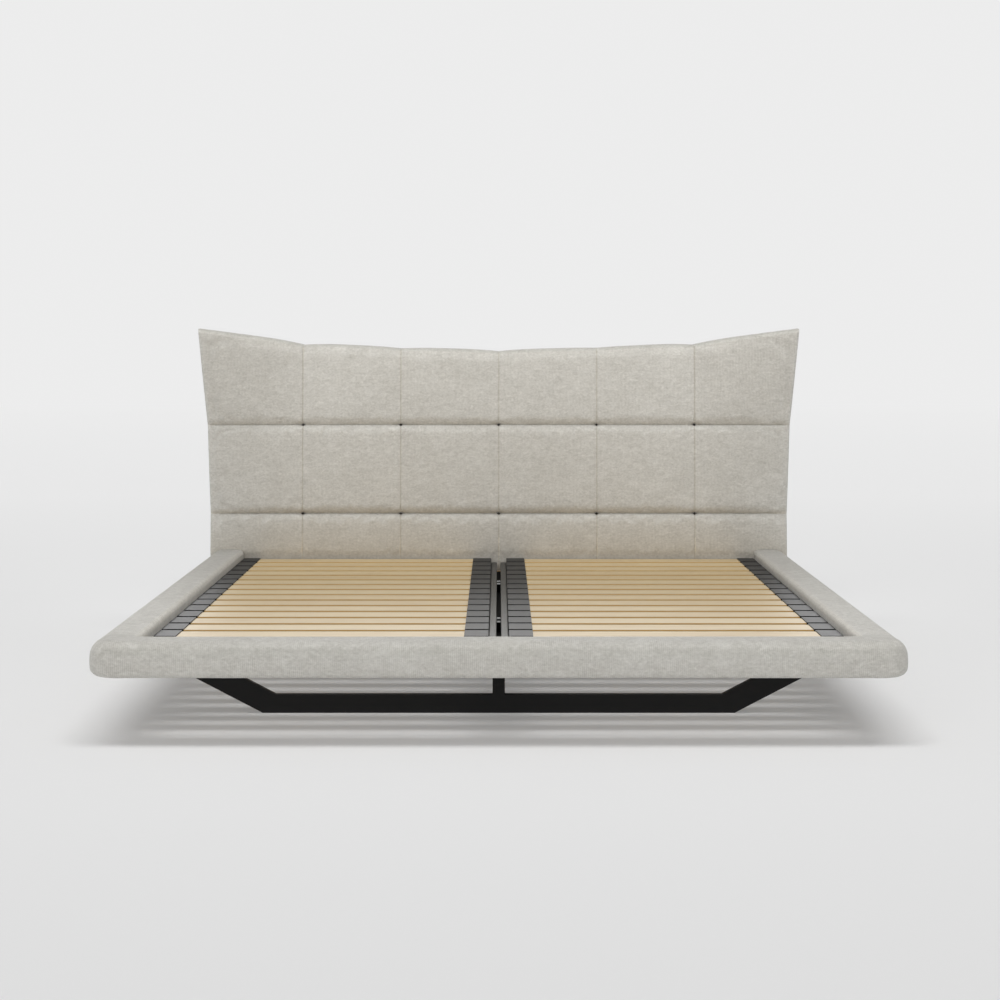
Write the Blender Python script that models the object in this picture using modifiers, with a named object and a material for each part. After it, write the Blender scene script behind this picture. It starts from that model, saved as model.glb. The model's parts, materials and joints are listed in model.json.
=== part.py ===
"""Upholstered double bed: tufted headboard with flared upper corners, padded rails,
two lift-out slatted bases and two welded sled feet.

Units are metres and +Z is up. The origin is on the floor under the middle of the bed.
The foot end faces -Y, the headboard is at +Y, and the bed is symmetric about X = 0.
"""
import math

import bmesh
import bpy
from mathutils import Vector

SEAT_GAP = 0.0003            # between pieces that touch
CUT_OVERRUN = 0.01           # how far a cutter runs past the face that it opens
MERGE_LIMIT = 0.00001        # points closer than this are one point
FLAT_ANGLE = math.radians(0.05)   # facets that meet flatter than this are one face

# Padded rails
BED_WIDTH = 2.036            # over both side rails
RAIL_DEPTH = 0.115
RAIL_HEIGHT = 0.091
RAIL_BOTTOM = 0.166          # floor to the rails' underside
RAIL_ROUND = 0.042           # outer top edge
RAIL_UNDER_ROUND = 0.030     # outer bottom edge
RAIL_LIP_ROUND = 0.024       # inner top edge
CORNER_ROUND = 0.070         # foot corners, seen from above
ROUND_STEPS = 6
LIP_STEPS = 4

# Boards inside the rails
CORE_THICKNESS = 0.025
CORE_HEIGHT = 0.070
CORE_LINING = 0.006          # padding between a board and the inside of the bed

# Slatted bases
BASE_LENGTH = 2.010
BASE_HEAD_CLEARANCE = 0.006
BASE_FOOT_CLEARANCE = 0.020
BASE_SIDE_CLEARANCE = 0.0035
BASE_MIDDLE_CLEARANCE = 0.0125    # between the two bases
BASE_RAIL_WIDTH = 0.020
BASE_RAIL_HEIGHT = 0.030
BASE_RAIL_BOTTOM = 0.1825
SLAT_PITCH = 0.1237
SLAT_WIDTH = 0.100
SLAT_THICKNESS = 0.010
SLAT_BOTTOM = 0.2145
SLAT_EDGE_ROUND = 0.003
SLAT_HEAD_MARGIN = 0.004     # from the base's head end to the last slat

# Plastic holders on the bases' side rails
HOLDER_WIDTH = 0.106
HOLDER_INNER_LENGTH = 0.064
HOLDER_OUTER_LENGTH = 0.058
HOLDER_WALL = 0.0026         # over the slat
HOLDER_SOLE = 0.0125         # under the slat
HOLDER_ROUND = 0.004
HOLDER_GRIP = 0.045          # how far a slat reaches into its holder
HOLDER_LUG_WIDTH = 0.050
HOLDER_LUG_HEIGHT = 0.008
HOLDER_LUG_BITE = 0.010      # how far a lug reaches into the rail and into its holder

# What carries the bases
BEAM_WIDTH = 0.060
BEAM_HEIGHT = 0.027
ANGLE_THICKNESS = 0.003
ANGLE_LEDGE = 0.030
ANGLE_UPSTAND = 0.020
CROSS_RAIL_DEPTH = 0.040
CROSS_RAIL_HEIGHT = 0.055
CROSS_RAIL_HEAD_CLEARANCE = 0.003
BEAM_BEARING = 0.020         # how far the beam's head end sits in the cross rail
HANGER_THICKNESS = 0.003
HANGER_LENGTH = 0.030
LOCATOR_SPACING = 0.062      # between the uprights of one locator
LOCATOR_THICKNESS = 0.003
LOCATOR_SIDE_CLEARANCE = 0.001
LOCATOR_FROM_FOOT = 0.604    # foot rail's inner face to the middle of the front locator
LOCATOR_PITCH = 0.861

# Sled feet
SLED_DEPTH = 0.020
SLED_BAR_HEIGHT = 0.050
SLED_BAR_HALF_LENGTH = 0.633
SLED_LEG_WIDTH = 0.060
SLED_LEG_RUN_SHARE = 1.93    # run outwards for each unit of rise
SLED_POST_WIDTH = 0.033
SLED_PLATE_THICKNESS = 0.005
SLED_PLATE_DEPTH = 0.070
SLED_PLATE_MARGIN = 0.010
SLED_EDGE_ROUND = 0.0015
FRONT_SLED_SETBACK = 0.445   # foot rail's front face to the front sled
REAR_SLED_SETBACK = 0.300    # headboard's face to the rear sled

# Headboard outline before it is bent
HEADBOARD_WIDTH = 2.044
SEAM_PITCH = 0.348           # between the upright seams
LOWER_SEAM = 0.383
UPPER_SEAM = 0.698
HEADBOARD_TOP = 0.961        # height at the middle seam
SHELL_BOTTOM = 0.120
PAD_DEPTH = 0.070
SHELL_DEPTH = 0.018
COVER_DEPTH = 0.008

# How the headboard is bent
LEAN_SHARE = 0.035           # backwards for each unit of height above the rails
CROWN_RISE = 0.021           # height gained from the middle to the second seam
WING_RISE = 0.046            # height gained from there to the corner
WING_FORWARD = 0.130
WING_OUT = 0.029
MID_FLARE_SHARE = 0.25       # of the flare that is reached at the upper seam

# Padding of the headboard
UPRIGHT_SEAM_DIP = 0.007
LEVEL_SEAM_DIP = 0.014
TUFT_DIP = 0.007
TUFT_REACH = 0.045
PILLOW_RISE = 0.010          # of a square's middle above the seams, at the top edge
PAD_EDGE_ROUND = 0.020
PAD_RIM = 0.006              # padding that wraps the shell's edge
PAD_RIM_STEP = 0.001
SHELL_EDGE_CLEARANCE = 0.0005
COVER_INSET = 0.003
PILLOW_SHARES = (0.08, 0.32, 0.68, 0.92)
LOWEST_PILLOW_SHARES = (0.45, 0.86)

# Brackets between the rails and the headboard's shell
BRACKET_WIDTH = 0.050
BRACKET_THICKNESS = 0.004
BRACKET_RAIL_LEAF = 0.080
BRACKET_SHELL_LEAF = 0.036

# Worked out from the sizes above
RAIL_TOP = RAIL_BOTTOM + RAIL_HEIGHT
RAIL_ROUNDS = ((RAIL_HEIGHT, RAIL_ROUND), (0.0, RAIL_UNDER_ROUND))
INNER_WIDTH = BED_WIDTH - 2 * RAIL_DEPTH
INNER_LENGTH = BASE_FOOT_CLEARANCE + BASE_LENGTH + BASE_HEAD_CLEARANCE
SLAT_COUNT = 1 + int((BASE_LENGTH - SLAT_HEAD_MARGIN - SLAT_WIDTH) / SLAT_PITCH)
BASE_RAIL_TOP = BASE_RAIL_BOTTOM + BASE_RAIL_HEIGHT
SLAT_TOP = SLAT_BOTTOM + SLAT_THICKNESS
HOLDER_TOP = SLAT_TOP + SEAT_GAP + HOLDER_WALL
HOLDER_BOTTOM = SLAT_BOTTOM - SEAT_GAP - HOLDER_SOLE
LEDGE_TOP = BASE_RAIL_BOTTOM - SEAT_GAP
BASE_INNER_X = BASE_MIDDLE_CLEARANCE / 2
BASE_OUTER_X = INNER_WIDTH / 2 - BASE_SIDE_CLEARANCE
INNER_HOLDER_START = BASE_INNER_X + BASE_RAIL_WIDTH + SEAT_GAP
OUTER_HOLDER_END = BASE_OUTER_X + BASE_SIDE_CLEARANCE / 2
SLAT_START_X = INNER_HOLDER_START + HOLDER_INNER_LENGTH - HOLDER_GRIP
SLAT_END_X = OUTER_HOLDER_END - HOLDER_OUTER_LENGTH + HOLDER_GRIP
CORE_INNER_X = INNER_WIDTH / 2 + CORE_LINING
SHELL_FRONT = PAD_DEPTH + SEAT_GAP
PAD_RIM_BACK = SHELL_FRONT + SHELL_DEPTH
COVER_FRONT = PAD_RIM_BACK + SEAT_GAP
COVER_BACK = COVER_FRONT + COVER_DEPTH
HEADBOARD_HALF = HEADBOARD_WIDTH / 2
WING_START = 2 * SEAM_PITCH
UPRIGHT_SEAMS = (-2 * SEAM_PITCH, -SEAM_PITCH, 0.0, SEAM_PITCH, 2 * SEAM_PITCH)
LEVEL_SEAMS = (LOWER_SEAM, UPPER_SEAM)
SHELL_INSET = PAD_RIM + PAD_RIM_STEP + SHELL_EDGE_CLEARANCE


def make_collection(name):
    """A new collection in the scene."""
    collection = bpy.data.collections.new(name)
    bpy.context.scene.collection.children.link(collection)
    return collection


def make_material(name, colour, roughness, metallic=0.0):
    """A Principled material of one colour."""
    material = bpy.data.materials.new(name)
    material.use_nodes = True
    shader = material.node_tree.nodes["Principled BSDF"]
    shader.inputs["Base Color"].default_value = (*colour, 1.0)
    shader.inputs["Roughness"].default_value = roughness
    shader.inputs["Metallic"].default_value = metallic
    material.diffuse_color = (*colour, 1.0)
    return material


def add_piece(name, mesh, material, location=(0.0, 0.0, 0.0), parent=None):
    """A named piece of the bed."""
    piece = bpy.data.objects.new(name, mesh)
    piece.location = location
    piece.parent = parent
    if not mesh.materials:
        mesh.materials.append(material)
    PARTS.objects.link(piece)
    return piece


def add_tool(name, mesh, location=(0.0, 0.0, 0.0), parent=None):
    """A shape that only cuts or joins another."""
    tool = bpy.data.objects.new(name, mesh)
    tool.location = location
    tool.parent = parent
    tool.hide_render = True
    tool.display_type = "WIRE"
    CUTTERS.objects.link(tool)
    return tool


def combine(piece, tool, operation):
    """Cut the tool from the piece, or join it on."""
    modifier = piece.modifiers.new(f"{operation.title()} {tool.name}", "BOOLEAN")
    modifier.operation = operation
    modifier.object = tool


def box_bmesh(low, high, bm=None):
    """A box between two corners, alone or added to other boxes."""
    bm = bm or bmesh.new()
    low, high = Vector(low), Vector(high)
    made = bmesh.ops.create_cube(bm, size=1.0)["verts"]
    bmesh.ops.scale(bm, vec=high - low, verts=made)
    bmesh.ops.translate(bm, vec=(low + high) / 2, verts=made)
    return bm


def bevel_edges(bm, edges, radius, steps):
    """Round the given edges."""
    bmesh.ops.bevel(bm, geom=edges, offset=radius, offset_type="OFFSET", segments=steps,
                    profile=0.5, affect="EDGES", clamp_overlap=True)


def edges_where(bm, test):
    """Edges both of whose ends pass a test."""
    return [edge for edge in bm.edges if all(test(vert.co) for vert in edge.verts)]


def near(value, target):
    """Whether two lengths are the same."""
    return abs(value - target) < MERGE_LIMIT


def ordered(side, near_x, far_x):
    """Two distances from the middle as a low and a high X on one side of the bed."""
    return tuple(sorted((side * near_x, side * far_x)))


def to_mesh(bm, name):
    """Turn the working mesh into mesh data."""
    mesh = bpy.data.meshes.new(name)
    bm.to_mesh(mesh)
    bm.free()
    return mesh


def box_mesh(name, low, high):
    """Mesh data of one box."""
    return to_mesh(box_bmesh(low, high), name)


# Padded rails and their boards

def side_cover_mesh(length):
    """A side rail's padding: the outer edges are round, the inner top edge is a small lip."""
    bm = box_bmesh((0.0, 0.0, 0.0), (RAIL_DEPTH, length, RAIL_HEIGHT))
    for level, radius in RAIL_ROUNDS:
        bevel_edges(bm, edges_where(bm, lambda co: near(co.x, RAIL_DEPTH) and near(co.z, level)),
                    radius, ROUND_STEPS)
    bevel_edges(bm, edges_where(bm, lambda co: near(co.x, 0.0) and near(co.z, RAIL_HEIGHT)),
                RAIL_LIP_ROUND, LIP_STEPS)
    return to_mesh(bm, "side_rail_cover")


def is_fold(edge):
    """Whether an edge lies between a level face and an upright one."""
    first, second = edge.link_faces
    return near(abs(first.normal.z - second.normal.z), 1.0)


def foot_cover_mesh():
    """The foot rail's padding: round corners in plan, and the same section as the side rails."""
    half = BED_WIDTH / 2
    bm = box_bmesh((-half, 0.0, 0.0), (half, RAIL_DEPTH, RAIL_HEIGHT))
    for side in (-1, 1):
        bmesh.ops.bisect_plane(bm, geom=bm.verts[:] + bm.edges[:] + bm.faces[:], dist=MERGE_LIMIT,
                               plane_co=(side * INNER_WIDTH / 2, 0.0, 0.0), plane_no=(1.0, 0.0, 0.0))
    corners = [edge for edge in edges_where(bm, lambda co: near(abs(co.x), half) and near(co.y, 0.0))
               if not near(edge.verts[0].co.z, edge.verts[1].co.z)]
    bevel_edges(bm, corners, CORNER_ROUND, ROUND_STEPS)
    lip = [edge for edge in edges_where(bm, lambda co: near(co.y, RAIL_DEPTH) and near(co.z, RAIL_HEIGHT))
           if all(abs(vert.co.x) < INNER_WIDTH / 2 + MERGE_LIMIT for vert in edge.verts)]
    bevel_edges(bm, lip, RAIL_LIP_ROUND, LIP_STEPS)
    for level, radius in RAIL_ROUNDS:
        bm.normal_update()
        rim = [edge for edge in edges_where(bm, lambda co: near(co.z, level))
               if is_fold(edge) and not all(near(vert.co.y, RAIL_DEPTH) for vert in edge.verts)]
        bevel_edges(bm, rim, radius, ROUND_STEPS)
    return to_mesh(bm, "foot_rail_cover")


def build_side_rail(name, side, frame):
    """A side rail: padding with a channel for its board, and the board."""
    start = FOOT_Y + RAIL_DEPTH + SEAT_GAP
    length = INNER_LENGTH - 2 * SEAT_GAP
    cover = add_piece(f"{name}_rail_cover", side_cover_mesh(length), FABRIC,
                      (side * INNER_WIDTH / 2, start, RAIL_BOTTOM), frame)
    cover.scale.x = side
    if side < 0:
        bake_mirror(cover)
    inner, outer = ordered(side, CORE_INNER_X, CORE_INNER_X + CORE_THICKNESS)
    core = box_mesh(f"{name}_rail_core", (inner, start, RAIL_BOTTOM),
                    (outer, start + length, RAIL_BOTTOM + CORE_HEIGHT))
    add_piece(f"{name}_rail_core", core, TIMBER, parent=frame)
    channel = box_mesh(f"{name}_channel",
                       (inner - SEAT_GAP, start - CUT_OVERRUN, RAIL_BOTTOM - CUT_OVERRUN),
                       (outer + SEAT_GAP, start + length + CUT_OVERRUN,
                        RAIL_BOTTOM + CORE_HEIGHT + SEAT_GAP))
    combine(cover, add_tool(f"{name}_channel", channel, parent=frame), "DIFFERENCE")


def bake_mirror(piece):
    """Apply a mirrored scale to the mesh, and turn its faces out again."""
    bm = bmesh.new()
    bm.from_mesh(piece.data)
    bmesh.ops.scale(bm, vec=piece.scale, verts=bm.verts)
    bmesh.ops.reverse_faces(bm, faces=bm.faces)
    bm.to_mesh(piece.data)
    bm.free()
    piece.scale = (1.0, 1.0, 1.0)


def build_foot_rail(frame):
    """The foot rail: padding with a channel for its board, and the board."""
    cover = add_piece("foot_rail_cover", foot_cover_mesh(), FABRIC, (0.0, FOOT_Y, RAIL_BOTTOM), frame)
    half = CORE_INNER_X + CORE_THICKNESS
    back = FOOT_Y + RAIL_DEPTH - CORE_LINING
    core = box_mesh("foot_rail_core", (-half, back - CORE_THICKNESS, RAIL_BOTTOM),
                    (half, back, RAIL_BOTTOM + CORE_HEIGHT))
    add_piece("foot_rail_core", core, TIMBER, parent=frame)
    channel = box_mesh("foot_channel",
                       (-half - SEAT_GAP, back - CORE_THICKNESS - SEAT_GAP, RAIL_BOTTOM - CUT_OVERRUN),
                       (half + SEAT_GAP, back + SEAT_GAP, RAIL_BOTTOM + CORE_HEIGHT + SEAT_GAP))
    combine(cover, add_tool("foot_channel", channel, parent=frame), "DIFFERENCE")


# Beam, cross rail, angles and brackets under the bases

def build_head_cross_rail(frame):
    """The timber under the bases' head ends, notched for the centre beam."""
    back = FACE_Y - CROSS_RAIL_HEAD_CLEARANCE
    front = back - CROSS_RAIL_DEPTH
    half = INNER_WIDTH / 2 - SEAT_GAP
    timber = box_mesh("head_cross_rail", (-half, front, LEDGE_TOP - CROSS_RAIL_HEIGHT),
                      (half, back, LEDGE_TOP))
    rail = add_piece("head_cross_rail", timber, TIMBER, parent=frame)
    notch_half = BEAM_WIDTH / 2 + SEAT_GAP
    notch = box_mesh("beam_notch",
                     (-notch_half, front - CUT_OVERRUN, LEDGE_TOP - BEAM_HEIGHT - SEAT_GAP),
                     (notch_half, front + BEAM_BEARING + SEAT_GAP, LEDGE_TOP + CUT_OVERRUN))
    combine(rail, add_tool("beam_notch", notch, parent=frame), "DIFFERENCE")
    return front


def build_centre_beam(cross_rail_front, frame):
    """The steel beam under the gap between the bases, and the hanger at its foot end."""
    start = FOOT_Y + RAIL_DEPTH + HANGER_THICKNESS + 2 * SEAT_GAP
    half = BEAM_WIDTH / 2
    bottom = LEDGE_TOP - BEAM_HEIGHT
    beam = box_mesh("centre_beam", (-half, start, bottom), (half, cross_rail_front + BEAM_BEARING, LEDGE_TOP))
    add_piece("centre_beam", beam, BLACK_STEEL, parent=frame)
    outer = half + HANGER_THICKNESS + SEAT_GAP
    wall = FOOT_Y + RAIL_DEPTH + SEAT_GAP
    cup = box_mesh("beam_hanger", (-outer, wall, bottom - HANGER_THICKNESS - SEAT_GAP),
                   (outer, wall + HANGER_LENGTH, LEDGE_TOP))
    hanger = add_piece("centre_beam_hanger", cup, ZINC, parent=frame)
    hollow = box_mesh("hanger_hollow",
                      (-half - SEAT_GAP, start - SEAT_GAP, bottom - SEAT_GAP),
                      (half + SEAT_GAP, start + HANGER_LENGTH + CUT_OVERRUN, LEDGE_TOP + CUT_OVERRUN))
    combine(hanger, add_tool("hanger_hollow", hollow, parent=frame), "DIFFERENCE")


def build_support_angle(name, side, cross_rail_front, frame):
    """The steel angle on a side rail that carries a base's outer rail."""
    wall = INNER_WIDTH / 2 - SEAT_GAP
    start = FOOT_Y + RAIL_DEPTH + SEAT_GAP
    end = cross_rail_front - SEAT_GAP
    bottom = LEDGE_TOP - ANGLE_THICKNESS
    inner, outer = ordered(side, wall - ANGLE_LEDGE, wall)
    block = box_mesh(f"{name}_support_angle", (inner, start, bottom), (outer, end, bottom + ANGLE_UPSTAND))
    angle = add_piece(f"{name}_support_angle", block, ZINC, parent=frame)
    open_in, open_out = ordered(side, wall - ANGLE_LEDGE - CUT_OVERRUN, wall - ANGLE_THICKNESS)
    room = box_mesh(f"{name}_angle_room", (open_in, start - CUT_OVERRUN, LEDGE_TOP),
                    (open_out, end + CUT_OVERRUN, LEDGE_TOP + ANGLE_UPSTAND + CUT_OVERRUN))
    combine(angle, add_tool(f"{name}_angle_room", room, parent=frame), "DIFFERENCE")


def build_locator(name, middle_y, frame):
    """A U-shaped bracket on the beam that keeps the two bases apart."""
    half_x = BASE_MIDDLE_CLEARANCE / 2 - LOCATOR_SIDE_CLEARANCE
    half_y = LOCATOR_SPACING / 2 + LOCATOR_THICKNESS
    foot = LEDGE_TOP + SEAT_GAP
    block = box_mesh(name, (-half_x, middle_y - half_y, foot),
                     (half_x, middle_y + half_y, BASE_RAIL_TOP))
    locator = add_piece(name, block, ZINC, parent=frame)
    room = box_mesh(f"{name}_room",
                    (-half_x - CUT_OVERRUN, middle_y - LOCATOR_SPACING / 2, foot + LOCATOR_THICKNESS),
                    (half_x + CUT_OVERRUN, middle_y + LOCATOR_SPACING / 2, BASE_RAIL_TOP + CUT_OVERRUN))
    combine(locator, add_tool(f"{name}_room", room, parent=frame), "DIFFERENCE")


def build_headboard_bracket(name, side, frame):
    """An angled plate from a side rail's underside to the headboard's shell."""
    low_x, high_x = ordered(side, INNER_WIDTH / 2, INNER_WIDTH / 2 + BRACKET_WIDTH)
    top = RAIL_BOTTOM - SEAT_GAP
    back = FACE_Y + SHELL_FRONT - SEAT_GAP
    block = box_mesh(name, (low_x, FACE_Y - BRACKET_RAIL_LEAF, top - BRACKET_THICKNESS - BRACKET_SHELL_LEAF),
                     (high_x, back, top))
    bracket = add_piece(name, block, ZINC, parent=frame)
    room = box_mesh(f"{name}_room",
                    (low_x - CUT_OVERRUN, FACE_Y - BRACKET_RAIL_LEAF - CUT_OVERRUN,
                     top - BRACKET_THICKNESS - BRACKET_SHELL_LEAF - CUT_OVERRUN),
                    (high_x + CUT_OVERRUN, back - BRACKET_THICKNESS, top - BRACKET_THICKNESS))
    combine(bracket, add_tool(f"{name}_room", room, parent=frame), "DIFFERENCE")


# Sled feet

def sled_outline():
    """The sled seen from the front: bar, slanting legs and middle post, as one outline."""
    leg_top = RAIL_BOTTOM - SEAT_GAP - SLED_PLATE_THICKNESS
    post_top = LEDGE_TOP - BEAM_HEIGHT - SEAT_GAP - SLED_PLATE_THICKNESS
    leg_level_width = SLED_LEG_WIDTH * math.hypot(1.0, SLED_LEG_RUN_SHARE)
    outer_top = SLED_BAR_HALF_LENGTH + SLED_LEG_RUN_SHARE * leg_top
    inner_top = outer_top - leg_level_width
    inner_foot = inner_top - SLED_LEG_RUN_SHARE * (leg_top - SLED_BAR_HEIGHT)
    right = [(SLED_BAR_HALF_LENGTH, 0.0), (outer_top, leg_top), (inner_top, leg_top),
             (inner_foot, SLED_BAR_HEIGHT), (SLED_POST_WIDTH / 2, SLED_BAR_HEIGHT),
             (SLED_POST_WIDTH / 2, post_top)]
    left = [(-x, z) for x, z in reversed(right)]
    return right + left, inner_top, outer_top


def flat_outline_mesh(name, outline, thickness):
    """A closed plate in the XZ plane from its outline, centred on Y = 0."""
    curve = bpy.data.curves.new(name, "CURVE")
    curve.dimensions = "2D"
    curve.fill_mode = "BOTH"
    curve.extrude = thickness / 2
    spline = curve.splines.new("POLY")
    spline.points.add(len(outline) - 1)
    for point, (x, z) in zip(spline.points, outline):
        point.co = (x, z, 0.0, 1.0)
    spline.use_cyclic_u = True
    holder = bpy.data.objects.new(name, curve)
    bpy.context.scene.collection.objects.link(holder)
    holder.rotation_euler.x = math.pi / 2
    bpy.context.view_layer.update()
    evaluated = holder.evaluated_get(bpy.context.evaluated_depsgraph_get())
    mesh = bpy.data.meshes.new_from_object(evaluated)
    bm = bmesh.new()
    bm.from_mesh(mesh)
    bmesh.ops.remove_doubles(bm, verts=bm.verts, dist=MERGE_LIMIT)
    bmesh.ops.transform(bm, matrix=holder.matrix_world, verts=bm.verts)
    bmesh.ops.dissolve_limit(bm, angle_limit=FLAT_ANGLE, verts=bm.verts, edges=bm.edges)
    bmesh.ops.recalc_face_normals(bm, faces=bm.faces)
    bm.to_mesh(mesh)
    bm.free()
    bpy.data.objects.remove(holder)
    return mesh


def build_sled(name, middle_y, frame):
    """One welded sled foot with its three mounting plates."""
    outline, inner_top, outer_top = sled_outline()
    sled = add_piece(name, flat_outline_mesh(name, outline, SLED_DEPTH), BLACK_STEEL,
                     (0.0, middle_y, 0.0), frame)
    bevel = sled.modifiers.new("Softened edges", "BEVEL")
    bevel.width = SLED_EDGE_ROUND
    bevel.segments = 1
    bevel.limit_method = "ANGLE"
    rail_plate = RAIL_BOTTOM - SEAT_GAP
    post_plate = LEDGE_TOP - BEAM_HEIGHT - SEAT_GAP
    weld = SLED_PLATE_THICKNESS + SLED_EDGE_ROUND
    half_depth = SLED_PLATE_DEPTH / 2
    plates = box_bmesh((-BEAM_WIDTH / 2, -half_depth, post_plate - weld),
                       (BEAM_WIDTH / 2, half_depth, post_plate))
    for side in (-1, 1):
        inner, outer = ordered(side, inner_top - SLED_PLATE_MARGIN, outer_top + SLED_PLATE_MARGIN)
        box_bmesh((inner, -half_depth, rail_plate - weld), (outer, half_depth, rail_plate), plates)
    tool = add_tool(f"{name}_plates", to_mesh(plates, f"{name}_plates"), (0.0, middle_y, 0.0), frame)
    combine(sled, tool, "UNION")


# Slatted bases

def slat_mesh():
    """One flat slat with softened long edges, centred on its own middle."""
    length = SLAT_END_X - SLAT_START_X
    half = Vector((length, SLAT_WIDTH, SLAT_THICKNESS)) / 2
    bm = box_bmesh(-half, half)
    lengthways = [edge for edge in bm.edges if not near(edge.verts[0].co.x, edge.verts[1].co.x)]
    bevel_edges(bm, lengthways, SLAT_EDGE_ROUND, 1)
    return to_mesh(bm, "slat")


def slat_places():
    """The middle of each slat along the bed, measured from the base's foot end."""
    last = BASE_LENGTH - SLAT_HEAD_MARGIN - SLAT_WIDTH / 2
    return [last - SLAT_PITCH * (SLAT_COUNT - 1 - number) for number in range(SLAT_COUNT)]


def holder_blocks(low_x, high_x):
    """The bodies of one rail's holders, side by side, with softened edges."""
    bm = bmesh.new()
    for place in slat_places():
        box_bmesh((low_x, place - HOLDER_WIDTH / 2, HOLDER_BOTTOM),
                  (high_x, place + HOLDER_WIDTH / 2, HOLDER_TOP), bm)
    soft = [edge for edge in bm.edges if not all(near(vert.co.z, HOLDER_BOTTOM) for vert in edge.verts)]
    bevel_edges(bm, soft, HOLDER_ROUND, 1)
    return bm


def row_of_boxes(width, low, high):
    """A box at each slat, with the given width along the bed and the same X and Z limits."""
    bm = bmesh.new()
    for place in slat_places():
        box_bmesh((low[0], place - width / 2, low[1]), (high[0], place + width / 2, high[1]), bm)
    return bm


def build_base_rail(name, side, rail_x, holder_x, grip_x, base):
    """A side rail of a slatted base with its row of holders, which have a pocket each for a slat."""
    low_x, high_x = ordered(side, *rail_x)
    rail = box_mesh(name, (low_x, 0.0, BASE_RAIL_BOTTOM), (high_x, BASE_LENGTH, BASE_RAIL_TOP))
    piece = add_piece(name, rail, PLASTIC, parent=base)
    blocks = to_mesh(holder_blocks(*ordered(side, *holder_x)), f"{name}_holders")
    combine(piece, add_tool(f"{name}_holders", blocks, parent=base), "UNION")
    if holder_x[0] > rail_x[1]:
        low_x, high_x = ordered(side, rail_x[1] - HOLDER_LUG_BITE, holder_x[0] + HOLDER_LUG_BITE)
        lug_top = BASE_RAIL_TOP - HOLDER_ROUND
        lugs = row_of_boxes(HOLDER_LUG_WIDTH, (low_x, lug_top - HOLDER_LUG_HEIGHT), (high_x, lug_top))
        combine(piece, add_tool(f"{name}_lugs", to_mesh(lugs, f"{name}_lugs"), parent=base), "UNION")
    low_x, high_x = ordered(side, *grip_x)
    pockets = row_of_boxes(SLAT_WIDTH + 2 * SEAT_GAP, (low_x, SLAT_BOTTOM - SEAT_GAP),
                           (high_x, SLAT_TOP + SEAT_GAP))
    tool = add_tool(f"{name}_pockets", to_mesh(pockets, f"{name}_pockets"), parent=base)
    combine(piece, tool, "DIFFERENCE")


def build_base(name, side, slat, frame):
    """One slatted base, which lifts out straight up."""
    base = bpy.data.objects.new(f"{name}_base_origin", None)
    base.location = (0.0, BASE_FOOT_Y, 0.0)
    base.parent = frame
    PARTS.objects.link(base)
    build_base_rail(f"{name}_base_inner_rail", side, (BASE_INNER_X, BASE_INNER_X + BASE_RAIL_WIDTH),
                    (INNER_HOLDER_START, INNER_HOLDER_START + HOLDER_INNER_LENGTH),
                    (SLAT_START_X - SEAT_GAP, SLAT_START_X + HOLDER_GRIP + CUT_OVERRUN), base)
    build_base_rail(f"{name}_base_outer_rail", side, (BASE_OUTER_X - BASE_RAIL_WIDTH, BASE_OUTER_X),
                    (OUTER_HOLDER_END - HOLDER_OUTER_LENGTH, OUTER_HOLDER_END),
                    (SLAT_END_X - HOLDER_GRIP - CUT_OVERRUN, SLAT_END_X + SEAT_GAP), base)
    cross_x = ordered(side, BASE_INNER_X + BASE_RAIL_WIDTH + SEAT_GAP,
                      BASE_OUTER_X - BASE_RAIL_WIDTH - SEAT_GAP)
    for end, start_y in (("foot", 0.0), ("head", BASE_LENGTH - BASE_RAIL_WIDTH)):
        cross = box_mesh(f"{name}_base_{end}_rail", (cross_x[0], start_y, BASE_RAIL_BOTTOM),
                         (cross_x[1], start_y + BASE_RAIL_WIDTH, HOLDER_BOTTOM - SEAT_GAP))
        add_piece(f"{name}_base_{end}_rail", cross, BASE_STEEL, parent=base)
    middle_x = side * (SLAT_START_X + SLAT_END_X) / 2
    for number, place in enumerate(slat_places(), start=1):
        add_piece(f"slat_{name}_{number:02d}", slat, WOOD,
                  (middle_x, place, SLAT_BOTTOM + SLAT_THICKNESS / 2), base)


# Headboard

def share_between(value, low, high):
    """How far a value has gone from low to high, from 0 to 1."""
    return min(1.0, max(0.0, (value - low) / (high - low)))


def flare_share(z):
    """How much of the wings' flare is reached at a height: a little at the upper seam, all at the top."""
    lower = share_between(z, LOWER_SEAM, UPPER_SEAM)
    upper = share_between(z, UPPER_SEAM, HEADBOARD_TOP)
    return MID_FLARE_SHARE * lower + (1.0 - MID_FLARE_SHARE) * upper


def bend(x, z, depth):
    """Where a point of the flat headboard lies once it leans back and its corners flare."""
    wing = share_between(abs(x), WING_START, HEADBOARD_HALF)
    top = share_between(z, UPPER_SEAM, HEADBOARD_TOP)
    crown = min(1.0, (x / WING_START) ** 2)
    height = z + top * (CROWN_RISE * crown + WING_RISE * wing)
    lean = LEAN_SHARE * max(0.0, height - RAIL_TOP)
    forward = WING_FORWARD * wing * flare_share(z)
    out = math.copysign(WING_OUT * wing * flare_share(z), x)
    return Vector((x + out, depth + lean - forward, height))


def stretch(low, high, shares):
    """Places between two ends at the given shares of the way, and the far end itself."""
    return [low + share * (high - low) for share in shares] + [high]


def mirrored(places):
    """Places on the right of the middle, and the same on the left."""
    return [-place for place in reversed(places) if place > 0.0] + places


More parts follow.
